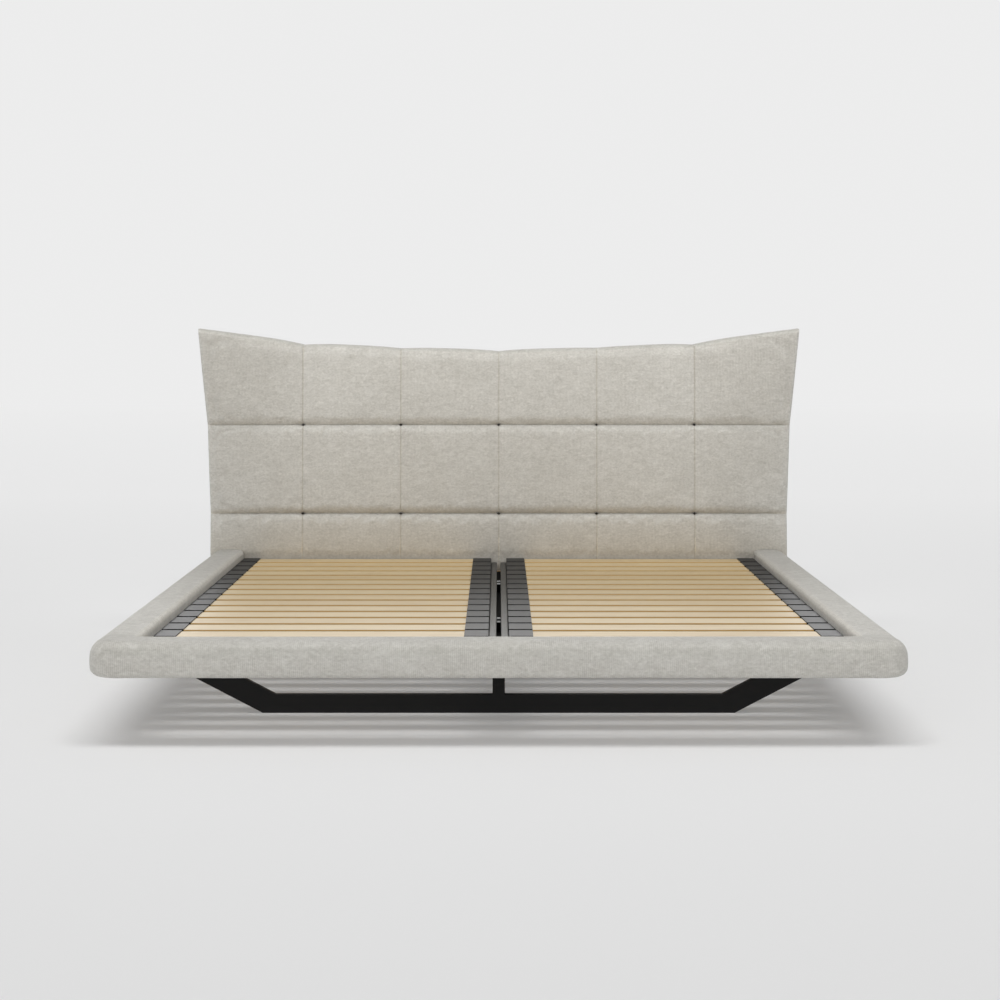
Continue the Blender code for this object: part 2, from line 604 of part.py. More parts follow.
def pad_columns():
    """Places across the pad: closer together at the seams and at the rim."""
    right = [0.0] + stretch(0.0, SEAM_PITCH, PILLOW_SHARES) + stretch(SEAM_PITCH, WING_START, PILLOW_SHARES)
    right += stretch(WING_START, HEADBOARD_HALF - PAD_EDGE_ROUND, PILLOW_SHARES)
    rim = HEADBOARD_HALF - PAD_RIM
    return mirrored(right + [rim - PAD_RIM_STEP, rim, HEADBOARD_HALF])


def pad_rows():
    """Heights up the pad: closer together at the seams and at the rim."""
    rows = [RAIL_BOTTOM, RAIL_TOP] + stretch(RAIL_TOP, LOWER_SEAM, LOWEST_PILLOW_SHARES)
    rows += stretch(LOWER_SEAM, UPPER_SEAM, PILLOW_SHARES)
    rows += stretch(UPPER_SEAM, HEADBOARD_TOP - PAD_EDGE_ROUND, PILLOW_SHARES)
    return rows + [HEADBOARD_TOP - PAD_RIM - PAD_RIM_STEP, HEADBOARD_TOP - PAD_RIM, HEADBOARD_TOP]


def board_columns(inset):
    """Places across the shell or the back cover: those of the pad that lie inside its edge."""
    edge = HEADBOARD_HALF - inset
    kept = [x for x in pad_columns() if 0.0 <= x < edge - PAD_RIM_STEP]
    return mirrored(kept + [edge])


def board_rows(inset, bottom):
    """Heights up the shell or the back cover: those of the pad, with its own bottom and top."""
    edge = HEADBOARD_TOP - inset
    kept = [z for z in pad_rows() if bottom + PAD_RIM_STEP < z < edge - PAD_RIM_STEP]
    return [bottom] + kept + [edge]


def seam_falloff(distance, reach):
    """1 on a seam, easing to 0 where its pull ends."""
    return (1.0 - min(1.0, distance / reach)) ** 3


def nearest(value, places):
    """Distance to the nearest of several places."""
    return min(abs(value - place) for place in places)


def edge_dip(distance):
    """How far the padding falls back on the round edge of the pad."""
    if distance >= PAD_EDGE_ROUND:
        return 0.0
    return PAD_EDGE_ROUND - math.sqrt(PAD_EDGE_ROUND ** 2 - (PAD_EDGE_ROUND - distance) ** 2)


def upright_pull(x):
    """The pull of the upright seams at a place across the headboard."""
    return seam_falloff(nearest(x, UPRIGHT_SEAMS), SEAM_PITCH / 2)


def level_pull(z):
    """The pull of the two level seams at a height."""
    return seam_falloff(nearest(z, LEVEL_SEAMS), LOWER_SEAM - RAIL_TOP)


def pad_front(x, z):
    """Depth of the pad's front: crowned squares, seams drawn in, and deeper tufts at the crossings."""
    tuft = math.hypot(nearest(x, UPRIGHT_SEAMS), nearest(z, LEVEL_SEAMS))
    upright = UPRIGHT_SEAM_DIP * upright_pull(x) * share_between(z, RAIL_TOP, LOWER_SEAM)
    dips = max(upright, LEVEL_SEAM_DIP * level_pull(z)) + TUFT_DIP * seam_falloff(tuft, TUFT_REACH)
    return dips + edge_dip(HEADBOARD_HALF - abs(x)) + edge_dip(HEADBOARD_TOP - z)


def pad_back(x, z):
    """Depth of the pad's back: its rim wraps the shell's edge."""
    to_edge = min(HEADBOARD_HALF - abs(x), HEADBOARD_TOP - z)
    return PAD_RIM_BACK if to_edge < PAD_RIM + PAD_RIM_STEP / 2 else PAD_DEPTH


def pillow_lift(x, z):
    """Height that a square's middle gains at the top edge, between the notches of the seams."""
    return PILLOW_RISE * (1.0 - upright_pull(x)) * share_between(z, UPPER_SEAM, HEADBOARD_TOP) ** 2


def no_lift(x, z):
    """A board's top edge has no notches between squares."""
    return 0.0


def panel_mesh(name, columns, rows, front, back, lift=no_lift):
    """A closed panel over a grid of places, bent as the headboard is, between two depths."""
    bm = bmesh.new()
    steps_x, steps_z = len(columns) - 1, len(rows) - 1
    bmesh.ops.create_grid(bm, x_segments=steps_x, y_segments=steps_z, size=0.5)
    front_verts = set(bm.verts)
    bmesh.ops.solidify(bm, geom=bm.faces[:], thickness=1.0)
    flat_place = {}
    for vert in bm.verts:
        x = columns[round((vert.co.x + 0.5) * steps_x)]
        z = rows[round((vert.co.y + 0.5) * steps_z)]
        flat_place[vert] = abs(x) + z
        vert.co = bend(x, z, back(x, z))
        if vert in front_verts:
            vert.co = bend(x, z, front(x, z)) + Vector((0.0, 0.0, lift(x, z)))
    for face in bm.faces[:]:
        if len({vert in front_verts for vert in face.verts}) == 1:
            corners = sorted(face.verts, key=flat_place.get)
            bmesh.utils.face_split(face, corners[0], corners[-1])
    bmesh.ops.recalc_face_normals(bm, faces=bm.faces)
    bmesh.ops.dissolve_limit(bm, angle_limit=FLAT_ANGLE, verts=bm.verts, edges=bm.edges)
    return to_mesh(bm, name)


def build_headboard(frame):
    """Tufted pad, bent plywood shell and the padded board that closes the back."""
    place = (0.0, FACE_Y, 0.0)
    pad = panel_mesh("headboard_pad", pad_columns(), pad_rows(), pad_front, pad_back, pillow_lift)
    add_piece("headboard_pad", pad, FABRIC, place, frame)
    shell = panel_mesh("headboard_shell", board_columns(SHELL_INSET), board_rows(SHELL_INSET, SHELL_BOTTOM),
                       lambda x, z: SHELL_FRONT, lambda x, z: SHELL_FRONT + SHELL_DEPTH)
    add_piece("headboard_shell", shell, PLYWOOD, place, frame)
    cover = panel_mesh("headboard_back_cover", board_columns(COVER_INSET),
                       board_rows(COVER_INSET, SHELL_BOTTOM),
                       lambda x, z: COVER_FRONT, lambda x, z: COVER_BACK)
    add_piece("headboard_back_cover", cover, FABRIC, place, frame)


# The whole bed

for old in list(bpy.data.objects):
    bpy.data.objects.remove(old)

HEADBOARD_REACH = bend(WING_START, HEADBOARD_TOP - COVER_INSET, COVER_BACK).y
OVERALL_LENGTH = RAIL_DEPTH + INNER_LENGTH + HEADBOARD_REACH
FOOT_Y = -OVERALL_LENGTH / 2
FACE_Y = FOOT_Y + RAIL_DEPTH + INNER_LENGTH
BASE_FOOT_Y = FACE_Y - BASE_HEAD_CLEARANCE - BASE_LENGTH

PARTS = make_collection("upholstered_bed")
CUTTERS = make_collection("cutters")
FABRIC = make_material("greige_fabric", (0.47, 0.45, 0.41), 0.9)
WOOD = make_material("pale_beech", (0.66, 0.54, 0.38), 0.5)
PLASTIC = make_material("grey_plastic", (0.12, 0.12, 0.118), 0.35)
BASE_STEEL = make_material("grey_steel", (0.20, 0.20, 0.19), 0.4, 0.3)
BLACK_STEEL = make_material("black_steel", (0.014, 0.013, 0.013), 0.5, 0.2)
ZINC = make_material("zinc_plated_steel", (0.60, 0.60, 0.58), 0.35, 1.0)
TIMBER = make_material("spruce_timber", (0.60, 0.45, 0.28), 0.7)
PLYWOOD = make_material("plywood", (0.55, 0.42, 0.27), 0.7)


def build_bed():
    """All the pieces, placed under one frame."""
    frame = bpy.data.objects.new("bed_frame_origin", None)
    PARTS.objects.link(frame)
    build_foot_rail(frame)
    build_side_rail("left", -1, frame)
    build_side_rail("right", 1, frame)
    cross_rail_front = build_head_cross_rail(frame)
    build_centre_beam(cross_rail_front, frame)
    build_support_angle("left", -1, cross_rail_front, frame)
    build_support_angle("right", 1, cross_rail_front, frame)
    foot_wall = FOOT_Y + RAIL_DEPTH
    build_locator("front_base_locator", foot_wall + LOCATOR_FROM_FOOT, frame)
    build_locator("rear_base_locator", foot_wall + LOCATOR_FROM_FOOT + LOCATOR_PITCH, frame)
    build_sled("front_sled", FOOT_Y + FRONT_SLED_SETBACK + SLED_DEPTH / 2, frame)
    build_sled("rear_sled", FACE_Y - REAR_SLED_SETBACK - SLED_DEPTH / 2, frame)
    build_headboard(frame)
    build_headboard_bracket("left_headboard_bracket", -1, frame)
    build_headboard_bracket("right_headboard_bracket", 1, frame)
    slat = slat_mesh()
    build_base("left", -1, slat, frame)
    build_base("right", 1, slat, frame)


build_bed()
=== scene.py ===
"""Looks of the upholstered bed: camera, light, materials and the pieces that stand for plain solids."""
import json
import math

import bmesh
import bpy
import numpy as np
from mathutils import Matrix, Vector, noise


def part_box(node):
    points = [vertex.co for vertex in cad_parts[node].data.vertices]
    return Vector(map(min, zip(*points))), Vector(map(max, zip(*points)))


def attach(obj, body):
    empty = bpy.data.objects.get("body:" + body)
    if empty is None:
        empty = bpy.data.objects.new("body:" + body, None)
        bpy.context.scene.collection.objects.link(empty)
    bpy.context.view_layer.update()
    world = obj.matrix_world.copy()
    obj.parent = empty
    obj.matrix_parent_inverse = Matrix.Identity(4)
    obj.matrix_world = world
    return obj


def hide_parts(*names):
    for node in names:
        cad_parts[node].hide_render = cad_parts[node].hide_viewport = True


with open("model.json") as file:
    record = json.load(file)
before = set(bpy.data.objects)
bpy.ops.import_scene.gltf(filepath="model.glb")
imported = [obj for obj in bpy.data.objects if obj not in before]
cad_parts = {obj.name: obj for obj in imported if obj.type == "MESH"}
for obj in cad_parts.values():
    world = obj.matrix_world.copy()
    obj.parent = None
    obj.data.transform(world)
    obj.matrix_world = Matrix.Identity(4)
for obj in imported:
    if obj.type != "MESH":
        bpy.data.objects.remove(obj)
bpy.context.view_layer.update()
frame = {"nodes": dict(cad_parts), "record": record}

FOOT_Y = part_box("foot_rail_cover")[0].y
FACE_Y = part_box("head_cross_rail")[1].y + 0.003  # the plane of the headboard's crests
CAMERA_DISTANCE, CAMERA_HEIGHT = 4.845, 1.0  # before the foot rail, and above the floor
CAMERA_Y = FOOT_Y - CAMERA_DISTANCE
SLAT_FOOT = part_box("slat_right_01")[0].y
SLAT_PITCH, HALF_SLAT_GAP = 0.1237, 0.0119
LOWER_SEAM, UPPER_SEAM = 0.383, 0.698  # heights of the headboard's level seams
SEAM_PITCH = 0.348  # between its upright seams
LEAN = 0.035  # how far it leans back for each metre of height
WORLD_STRENGTH = 0.30  # of the even light from all round
OVERHEAD = 1.72  # of the fan of suns overhead, in all
FRONT = 1.14  # of the wide sun from the front
GLOSS = 1.42  # of the sun that only glossy surfaces show
HEAD_WASH = 2.95  # watts, of the lamp before the headboard's upper part


# ------------------------------------ node help
class Nodes:
    """Short calls that build one material's nodes."""

    def __init__(self, name, **values):
        self.material = bpy.data.materials.new(name)
        self.material.use_nodes = True
        self.tree = self.material.node_tree
        self.shader = self.tree.nodes["Principled BSDF"]
        for socket, value in values.items():
            self.shader.inputs[socket.replace("_", " ")].default_value = value

    def add(self, kind, inputs=None, output=0, **settings):
        node = self.tree.nodes.new("ShaderNode" + kind)
        for key, value in settings.items():
            setattr(node, key, value)
        for key, value in (inputs or {}).items():
            if isinstance(value, bpy.types.NodeSocket):
                self.tree.links.new(value, node.inputs[key])
            else:
                node.inputs[key].default_value = value
        return node.outputs[output]

    def math(self, operation, *values):
        return self.add("Math", dict(enumerate(values)), operation=operation)

    def mix(self, share, first, second, kind="MIX"):
        return self.add("Mix", {0: share, 6: first, 7: second}, 2, data_type="RGBA", blend_type=kind)

    def times(self, first, second):
        return self.math("MULTIPLY", first, second)

    def plus(self, first, second):
        return self.math("ADD", first, second)

    def span(self, value, start, end, low=0.0, high=1.0):
        """A value's way from start to end, as a number from low to high that stops at both."""
        return self.add("MapRange", {"Value": value, "From Min": start, "From Max": end,
                                     "To Min": low, "To Max": high})

    def noise(self, place, scale, detail=3.0, rough=0.5, warp=0.0):
        return self.add("TexNoise", {"Vector": place, "Scale": scale, "Detail": detail, "Roughness": rough,
                                     "Distortion": warp})

    def place(self):
        """The place in the object, in metres, whole and as X, Y and Z."""
        spot = self.add("TexCoord", output=3)
        parts = self.add("SeparateXYZ", {0: spot}).node.outputs
        return spot, parts[0], parts[1], parts[2]

    def stretch(self, spot, x, y, z):
        return self.add("VectorMath", {0: spot, 1: (x, y, z)}, operation="MULTIPLY")

    def normal(self):
        """Which way the surface faces, as X, Y and Z."""
        return self.add("SeparateXYZ", {0: self.add("NewGeometry", output=1)}).node.outputs

    def facing(self):
        """How far the surface faces along X, Y and Z, from 0 to 1."""
        return [self.math("ABSOLUTE", part) for part in self.normal()]

    def ramp(self, share, *stops):
        socket = self.add("ValToRGB", {"Fac": share})
        elements = socket.node.color_ramp.elements
        elements.remove(elements[1])
        elements[0].position, elements[0].color = stops[0]
        for position, colour in stops[1:]:
            elements.new(position).color = colour
        return socket

    def bump(self, height, distance):
        self.link(self.add("Bump", {"Height": height, "Distance": distance, "Strength": 1.0}), "Normal")

    def link(self, socket, name):
        self.tree.links.new(socket, self.shader.inputs[name])


def srgb(red, green, blue):
    """A colour given as it looks on screen, 0 to 255."""
    def linear(value):
        value /= 255
        return value / 12.92 if value <= 0.04045 else ((value + 0.055) / 1.055) ** 2.4
    return (linear(red), linear(green), linear(blue), 1.0)


# ------------------------------------ camera, floor and light
def add_object(name, data):
    made = bpy.data.objects.new(name, data)
    bpy.context.scene.collection.objects.link(made)
    return made


def build_camera():
    """The camera fitted to the photo: level, with a shift where a tilt would bend the uprights."""
    data = bpy.data.cameras.new("camera")
    data.sensor_width = 36.0
    data.lens = 71.03
    data.shift_x, data.shift_y = 0.0013, -0.16
    camera = add_object("camera", data)
    camera.location = (0, CAMERA_Y, CAMERA_HEIGHT)
    camera.rotation_euler = (math.radians(90), 0, 0)
    bpy.context.scene.camera = camera


BACKDROP = srgb(236.5, 236.5, 236.5)
SHADOW_LIFT = 0.21  # how much of the backdrop's colour the camera sees on the floor
FLOOR_HALF, FLOOR_START, FLOOR_END = 200, -50, 350
FLOOR_GREYS = ((0.0, 223), (0.04, 229), (0.08, 229), (0.15, 226), (0.31, 236), (1.0, 237))  # near to far


def build_floor():
    """A pale floor that runs into the backdrop's colour far behind the bed."""
    mesh = bpy.data.meshes.new("floor")
    mesh.from_pydata([(-FLOOR_HALF, FLOOR_START, 0), (FLOOR_HALF, FLOOR_START, 0), (FLOOR_HALF, FLOOR_END, 0),
                      (-FLOOR_HALF, FLOOR_END, 0)], [], [(0, 1, 2, 3)])
    floor = add_object("floor", mesh)
    m = Nodes("floor_paint", Roughness=0.9, Specular_IOR_Level=0.0)
    along = m.place()[2]
    reach = m.span(along, CAMERA_Y + 3.0, CAMERA_Y + 34.0)
    m.link(m.ramp(reach, *((share, srgb(grey, grey, grey)) for share, grey in FLOOR_GREYS)), "Base Color")
    glow = m.add("Emission", {"Color": BACKDROP})
    far = m.span(along, CAMERA_Y + 8.0, CAMERA_Y + 30.0)
    seen = m.times(m.add("LightPath"), SHADOW_LIFT)
    blend = m.add("MixShader", {0: m.math("MAXIMUM", far, seen), 1: m.shader.outputs[0], 2: glow})
    m.tree.links.new(blend, m.tree.nodes["Material Output"].inputs[0])
    mesh.materials.append(m.material)


def build_world():
    """Even light from all round; the camera and reflections see the backdrop's own colour."""
    world = bpy.data.worlds.new("studio")
    bpy.context.scene.world = world
    world.use_nodes = True
    tree = world.node_tree

    def node(kind, *links, **settings):
        made = tree.nodes.new("ShaderNode" + kind)
        for key, value in settings.items():
            setattr(made, key, value)
        for number, socket in enumerate(links):
            tree.links.new(socket, made.inputs[number])
        return made
    ambient = tree.nodes["Background"]
    ambient.inputs[0].default_value = (1, 1, 1, 1)
    ambient.inputs[1].default_value = WORLD_STRENGTH
    seen = node("Background")
    seen.inputs[0].default_value = BACKDROP
    path = node("LightPath").outputs
    either = node("Math", path["Is Camera Ray"], path["Is Glossy Ray"], operation="MAXIMUM")
    either = node("Math", either.outputs[0], path["Is Transmission Ray"], operation="MAXIMUM")
    mix = node("MixShader", either.outputs[0], ambient.outputs[0], seen.outputs[0])
    tree.links.new(mix.outputs[0], tree.nodes["World Output"].inputs[0])


def add_sun(name, direction, angle, strength, gloss_only=False):
    """A sun that shines along a direction; its angle sets how soft its shadow is."""
    data = bpy.data.lights.new(name, "SUN")
    data.angle = math.radians(angle)
    data.energy = strength
    light = add_object(name, data)
    light.rotation_euler = Vector(direction).to_track_quat("-Z", "Y").to_euler()
    light.location = (0, 0, 4)
    light.visible_diffuse = not gloss_only


FAN_STEP, FAN_TILT = 8, 5.2  # degrees between the fan's suns, across and along the bed
FAN_LEAN = 0.06  # how far the whole fan shines towards the head
WASH_BEFORE, WASH_HEIGHT, WASH_DROP = 1.2, 1.95, 0.90  # before the headboard, and how far it aims down


def build_lights():
    """Suns fanned overhead in three rows, a wide one in front, one behind that only glossy surfaces show, and a
    lamp before the headboard's upper part."""
    fan = [(FAN_STEP * (k - 3), 0.0) for k in range(7)]
    fan += [(FAN_STEP * (k - 2.5), tilt) for k in range(6) for tilt in (-FAN_TILT, FAN_TILT)]
    for number, (across, along) in enumerate(fan, start=1):
        way = (math.tan(math.radians(across)), FAN_LEAN + math.tan(math.radians(along)), -1)
        add_sun(f"overhead_{number}", way, 8.0, OVERHEAD / len(fan))
    add_sun("front", (0.13, 0.93, -0.32), 60, FRONT)
    add_sun("gloss", (0.0, -0.83, -0.56), 36, GLOSS, gloss_only=True)
    wash = bpy.data.lights.new("head_wash", "AREA")
    wash.shape, wash.size, wash.size_y, wash.energy = "RECTANGLE", 2.8, 0.4, HEAD_WASH
    wash.spread = math.radians(62)
    light = add_object("head_wash", wash)
    light.location = (0, FACE_Y - WASH_BEFORE, WASH_HEIGHT)
    light.rotation_euler = Vector((0, WASH_BEFORE, -WASH_DROP)).to_track_quat("-Z", "Y").to_euler()
    light.visible_camera = False


# ------------------------------------ materials
RAILS_BELOW = 0.3  # the rails' cloth lies below this height
CUSHION_EDGE = 0.9  # and the headboard's upper edge above this one
SHADE_RISE = 0.034  # how far the painted warm shade over a level seam reaches up
# Painted shade and light, multiplied into the cloth's colour: warm shade, light, and dark shade.
PAINTED_WARM_SHADE = (0.80, 0.74, 0.65, 1.0)
PAINTED_LIGHT = (1.30, 1.29, 1.27, 1.0)
PAINTED_DARK_SHADE = (0.72, 0.72, 0.71, 1.0)
RIB_PITCH, THREAD_PITCH = 0.0050, 0.0033


def painted_shade_and_light(m, x, y, z):
    """Painted shade and light on the cloth: warm shade over the headboard's level seams, along its upright ones
    and low down; light on the side rails' tops and inner sides; dark shade on upper edges, rounds and the
    foot's top."""
    face_x, face_y, face_z = m.normal()
    on_rails = m.math("LESS_THAN", z, RAILS_BELOW)
    front = m.times(m.span(face_y, -0.2, -0.6), m.math("GREATER_THAN", y, FACE_Y - 0.20))
    # Painted warm shade: towards the headboard's bottom, in the creases over its level seams and along its
    # upright seams.
    warm = m.span(z, 0.375, 0.25, high=0.45)
    for level, strength in ((LOWER_SEAM, 0.70), (UPPER_SEAM, 0.28)):
        above = m.times(m.span(z, level + SHADE_RISE, level), m.math("GREATER_THAN", z, level))
        warm = m.math("MULTIPLY_ADD", m.times(above, above), strength, warm)
    beside = m.math("ABSOLUTE", m.math("WRAP", x, SEAM_PITCH / 2, -SEAM_PITCH / 2))
    upright = m.span(beside, 0.0028, 0.0006, high=0.42)
    inner = m.math("LESS_THAN", m.math("ABSOLUTE", x), 2.2 * SEAM_PITCH)
    warm = m.times(m.math("MULTIPLY_ADD", upright, inner, warm), front)

    # Painted light on the side rails' tops towards the head and on their inner sides.
    level_top = m.times(m.span(face_z, 0.75, 1.0), on_rails)
    to_head = m.span(y, FOOT_Y + 0.2, FOOT_Y + 1.5)
    inward = m.times(m.times(face_x, m.math("SIGN", x)), -1.0)
    inward = m.times(m.span(inward, 0.1, 0.7), on_rails)
    pale = m.plus(m.times(level_top, m.times(to_head, 0.5)), inward)

    # Painted dark shade on the headboard's upper edge, the rails' rounds and the foot rail's top.
    dark = m.times(m.span(face_z, 0.20, 0.80), m.math("GREATER_THAN", z, CUSHION_EDGE))
    slope = m.math("SUBTRACT", 1.0, m.math("ABSOLUTE", m.math("MULTIPLY_ADD", face_z, 2.0, -1.0)))
    slope = m.times(m.math("MAXIMUM", slope, 0.0), on_rails)
    dark = m.math("MULTIPLY_ADD", slope, 0.50, dark)
    at_foot = m.times(level_top, m.math("LESS_THAN", y, FOOT_Y + 0.13))
    return warm, pale, m.math("MULTIPLY_ADD", at_foot, 0.40, dark)


def fabric(name, dark, light):
    """A greige woven velvet: upright ribs, cross threads, soft light and dark patches, and painted shade and
    light.
    """
    m = Nodes(name, Roughness=0.92, Sheen_Weight=0.25, Sheen_Roughness=0.45, Specular_IOR_Level=0.25)
    spot, x, y, z = m.place()
    side, _, top = (m.span(way, 0.55, 0.85) for way in m.facing())
    across = m.add("Mix", {0: side, 2: x, 3: y})
    along = m.add("Mix", {0: top, 2: z, 3: m.add("Mix", {0: side, 2: y, 3: x})})
    wander = m.noise(spot, 26.0, 3.0)
    rib = m.math("SINE", m.plus(m.times(across, math.tau / RIB_PITCH), m.times(wander, 7.0)))
    cross = m.math("SINE", m.plus(m.times(along, math.tau / THREAD_PITCH), m.times(wander, 6.0)))
    fuzz = m.noise(spot, 520.0, 2.0, 0.7)
    patches = m.noise(m.stretch(spot, 1.0, 1.0, 1.2), 9.0, 4.0, 0.6, 0.5)
    streaks = m.noise(m.stretch(spot, 0.75, 0.75, 1.7), 44.0, 5.0, 0.66, 1.2)
    flecks = m.noise(m.stretch(spot, 1.0, 1.0, 1.3), 130.0, 3.0, 0.7)
    shows = m.span(m.noise(spot, 13.0, 2.0), 0.38, 0.62)
    tone = m.math("MULTIPLY_ADD", patches, 0.15, m.times(streaks, 0.43))
    for part, share in ((flecks, 0.42), (m.times(rib, shows), 0.050), (cross, 0.014)):
        tone = m.plus(tone, m.times(part, share))
    colour = m.ramp(tone, (0.315, dark), (0.725, light))
    # Painted shade and light, multiplied into the cloth's colour.
    for share, painted_tint in zip(painted_shade_and_light(m, x, y, z), (PAINTED_WARM_SHADE, PAINTED_LIGHT, PAINTED_DARK_SHADE)):
        colour = m.mix(share, colour, painted_tint, "MULTIPLY")
    m.link(colour, "Base Color")
    height = m.plus(m.times(rib, 0.5), m.times(cross, 0.32))
    m.bump(m.plus(height, m.times(fuzz, 1.5)), 0.00035)
    return m.material


def slat_wood():
    """Pale beech with a clear lacquer: long grain on the flats, darker plies and painted gap shade on the
    edges.
    """
    m = Nodes("lacquered_beech", Roughness=0.48, Specular_IOR_Level=0.25, Coat_Weight=0.28, Coat_Roughness=0.36)
    _, x, y, z = m.place()
    number = m.math("FLOOR", m.math("DIVIDE", m.math("SUBTRACT", y, SLAT_FOOT - HALF_SLAT_GAP), SLAT_PITCH))
    number = m.plus(number, m.times(m.math("SIGN", x), 40.0))
    own = m.add("TexWhiteNoise", {"W": number}, noise_dimensions="1D")
    moved = m.add("CombineXYZ", {0: x, 1: m.plus(y, m.times(own, 3.0)), 2: z})
    grain = m.noise(m.stretch(moved, 1.3, 26.0, 26.0), 2.2, 6.0, 0.62, 1.4)
    fine = m.noise(m.stretch(moved, 5.0, 170.0, 170.0), 3.0, 3.0, 0.6)
    tone = m.plus(m.times(grain, 0.62), m.times(fine, 0.30))
    tone = m.plus(tone, m.times(own, 0.10))
    flat = m.ramp(tone, (0.36, srgb(166, 142, 103)), (0.50, srgb(181, 160, 122)),
                  (0.64, srgb(189, 171, 135)))
    plies = m.math("SINE", m.times(z, math.tau / 0.0028))
    # The edges facing the foot and head are darker: partly the plies' own colour, partly painted shade for the
    # gaps between the slats.
    edge = m.mix(m.math("MULTIPLY_ADD", plies, 0.35, 0.5), srgb(158, 120, 28), srgb(129, 96, 17))
    m.link(m.mix(m.span(m.facing()[1], 0.12, 0.50), flat, edge), "Base Color")
    m.bump(m.plus(grain, fine), 0.00012)
    return m.material


def moulded_plastic():
    """Dark grey polypropylene with a fine moulded grain; where it faces the foot or the head, painted shade
    makes it nearly black and dulls its gloss.
    """
    m = Nodes("moulded_plastic")
    spot = m.place()[0]
    cloud = m.noise(spot, 22.0, 3.0)
    # Painted shade: faces towards the foot or head turn nearly black with little gloss, as shade in the gaps
    # between holders.
    end = m.span(m.facing()[1], 0.5, 0.9)
    tone = m.ramp(cloud, (0.35, srgb(24, 24, 25)), (0.65, srgb(31, 31, 32)))
    m.link(m.mix(end, tone, srgb(7, 7, 7)), "Base Color")
    m.link(m.span(end, 0.0, 1.0, 0.19, 0.02), "Specular IOR Level")
    m.link(m.span(cloud, 0.0, 1.0, 0.40, 0.50), "Roughness")
    m.bump(m.noise(spot, 900.0, 2.0, 0.6), 0.00006)
    return m.material


def coated_steel(name, dark, light, roughness, gloss, dull_above=None):
    """Steel under a powder coat with a faint orange-peel surface, matt above a height."""
    m = Nodes(name, Specular_IOR_Level=gloss)
    spot, _, _, z = m.place()
    if dull_above:
        m.link(m.span(z, dull_above - 0.01, dull_above, gloss, 0.01), "Specular IOR Level")
    cloud = m.noise(spot, 12.0, 4.0)
    m.link(m.ramp(cloud, (0.3, dark), (0.7, light)), "Base Color")
    m.link(m.span(cloud, 0.0, 1.0, roughness - 0.05, roughness + 0.05), "Roughness")
    m.bump(m.noise(spot, 700.0, 2.0), 0.00008)
    return m.material


def zinc_plate(name, painted_shade_below=-1.0):
    """Bright zinc with faint drawn lines, painted black below a height as shade."""
    m = Nodes(name)
    spot, _, _, z = m.place()
    # Painted shade: below the height the plate turns black, without metal or gloss.
    unshaded = m.math("GREATER_THAN", z, painted_shade_below)
    drawn = m.noise(m.stretch(spot, 1.0, 0.05, 1.0), 500.0, 3.0)
    cloud = m.noise(spot, 60.0, 4.0)
    bright = m.ramp(cloud, (0.3, srgb(206, 207, 206)), (0.7, srgb(226, 227, 225)))
    m.link(m.mix(unshaded, srgb(8, 8, 8), bright), "Base Color")
    m.link(unshaded, "Metallic")
    m.link(m.times(unshaded, 0.5), "Specular IOR Level")
    m.link(m.span(drawn, 0.0, 1.0, 0.26, 0.44), "Roughness")
    m.bump(drawn, 0.00004)
    return m.material


def sawn_timber():
    """Planed spruce with long grain and a few rings."""
    m = Nodes("planed_spruce", Roughness=0.62)
    spot = m.place()[0]
    long_x = m.noise(m.stretch(spot, 1.5, 14.0, 30.0), 3.0, 5.0, 0.6, 1.2)
    long_y = m.noise(m.stretch(spot, 14.0, 1.5, 30.0), 3.0, 5.0, 0.6, 1.2)
    grain = m.times(m.plus(long_x, long_y), 0.5)
    m.link(m.ramp(grain, (0.36, srgb(168, 127, 78)), (0.62, srgb(214, 182, 132))), "Base Color")
    m.bump(grain, 0.0002)
    return m.material


def plywood():
    """Plywood: broad grain on the faces and thin layers on the edges."""
    m = Nodes("plywood", Roughness=0.6)
    spot, _, y, z = m.place()
    grain = m.noise(m.stretch(spot, 1.2, 8.0, 18.0), 3.0, 5.0, 0.6, 1.5)
    face = m.ramp(grain, (0.34, srgb(172, 134, 88)), (0.64, srgb(208, 175, 128)))
    through = m.plus(y, m.times(z, -LEAN))
    layers = m.math("SINE", m.times(through, math.tau / 0.003))
    edge = m.mix(m.math("MULTIPLY_ADD", layers, 0.5, 0.5), srgb(150, 106, 62), srgb(206, 170, 120))
    side, _, top = m.facing()
    m.link(m.mix(m.span(m.math("MAXIMUM", side, top), 0.6, 0.9), face, edge), "Base Color")
    m.bump(grain, 0.00015)
    return m.material


MATERIALS = {
    "upholstery": fabric("greige_weave", srgb(173, 170, 162.5), srgb(220, 218, 212)),
    "rail_timber": sawn_timber(),
    "shell_plywood": plywood(),
    "black_steel": coated_steel("black_powder_coat", srgb(11, 11, 11), srgb(15, 15, 15), 0.55, 0.25, 0.14),
    "zinc_steel": zinc_plate("zinc_plate"),
    # the locators are painted black as shade below their top edges
    "locator_steel": zinc_plate("locator_plate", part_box("front_base_locator")[1].z - 0.004),
    "holder_plastic": moulded_plastic(),
    "base_steel": coated_steel("grey_powder_coat", srgb(22, 22, 22), srgb(28, 28, 27), 0.37, 0.34),
    "slat_wood": slat_wood(),
}


def dress_cad_nodes():
    """The materials of the nodes that keep their CAD mesh."""
    for part in frame["record"]["subparts"]:
        for place in frame["nodes"][part["node"]].material_slots:
            locator = part["node"].endswith("_locator")
            place.material = MATERIALS["locator_steel" if locator else part["material_slot"]]


# ------------------------------------ mesh help
def add_piece(name, mesh, body, slot, *replaced):
    """A named piece that rides on a body and stands for CAD nodes."""
    piece = add_object(name, mesh)
    mesh.materials.append(MATERIALS[slot])
    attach(piece, body)
    if replaced:
        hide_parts(*replaced)
    return piece


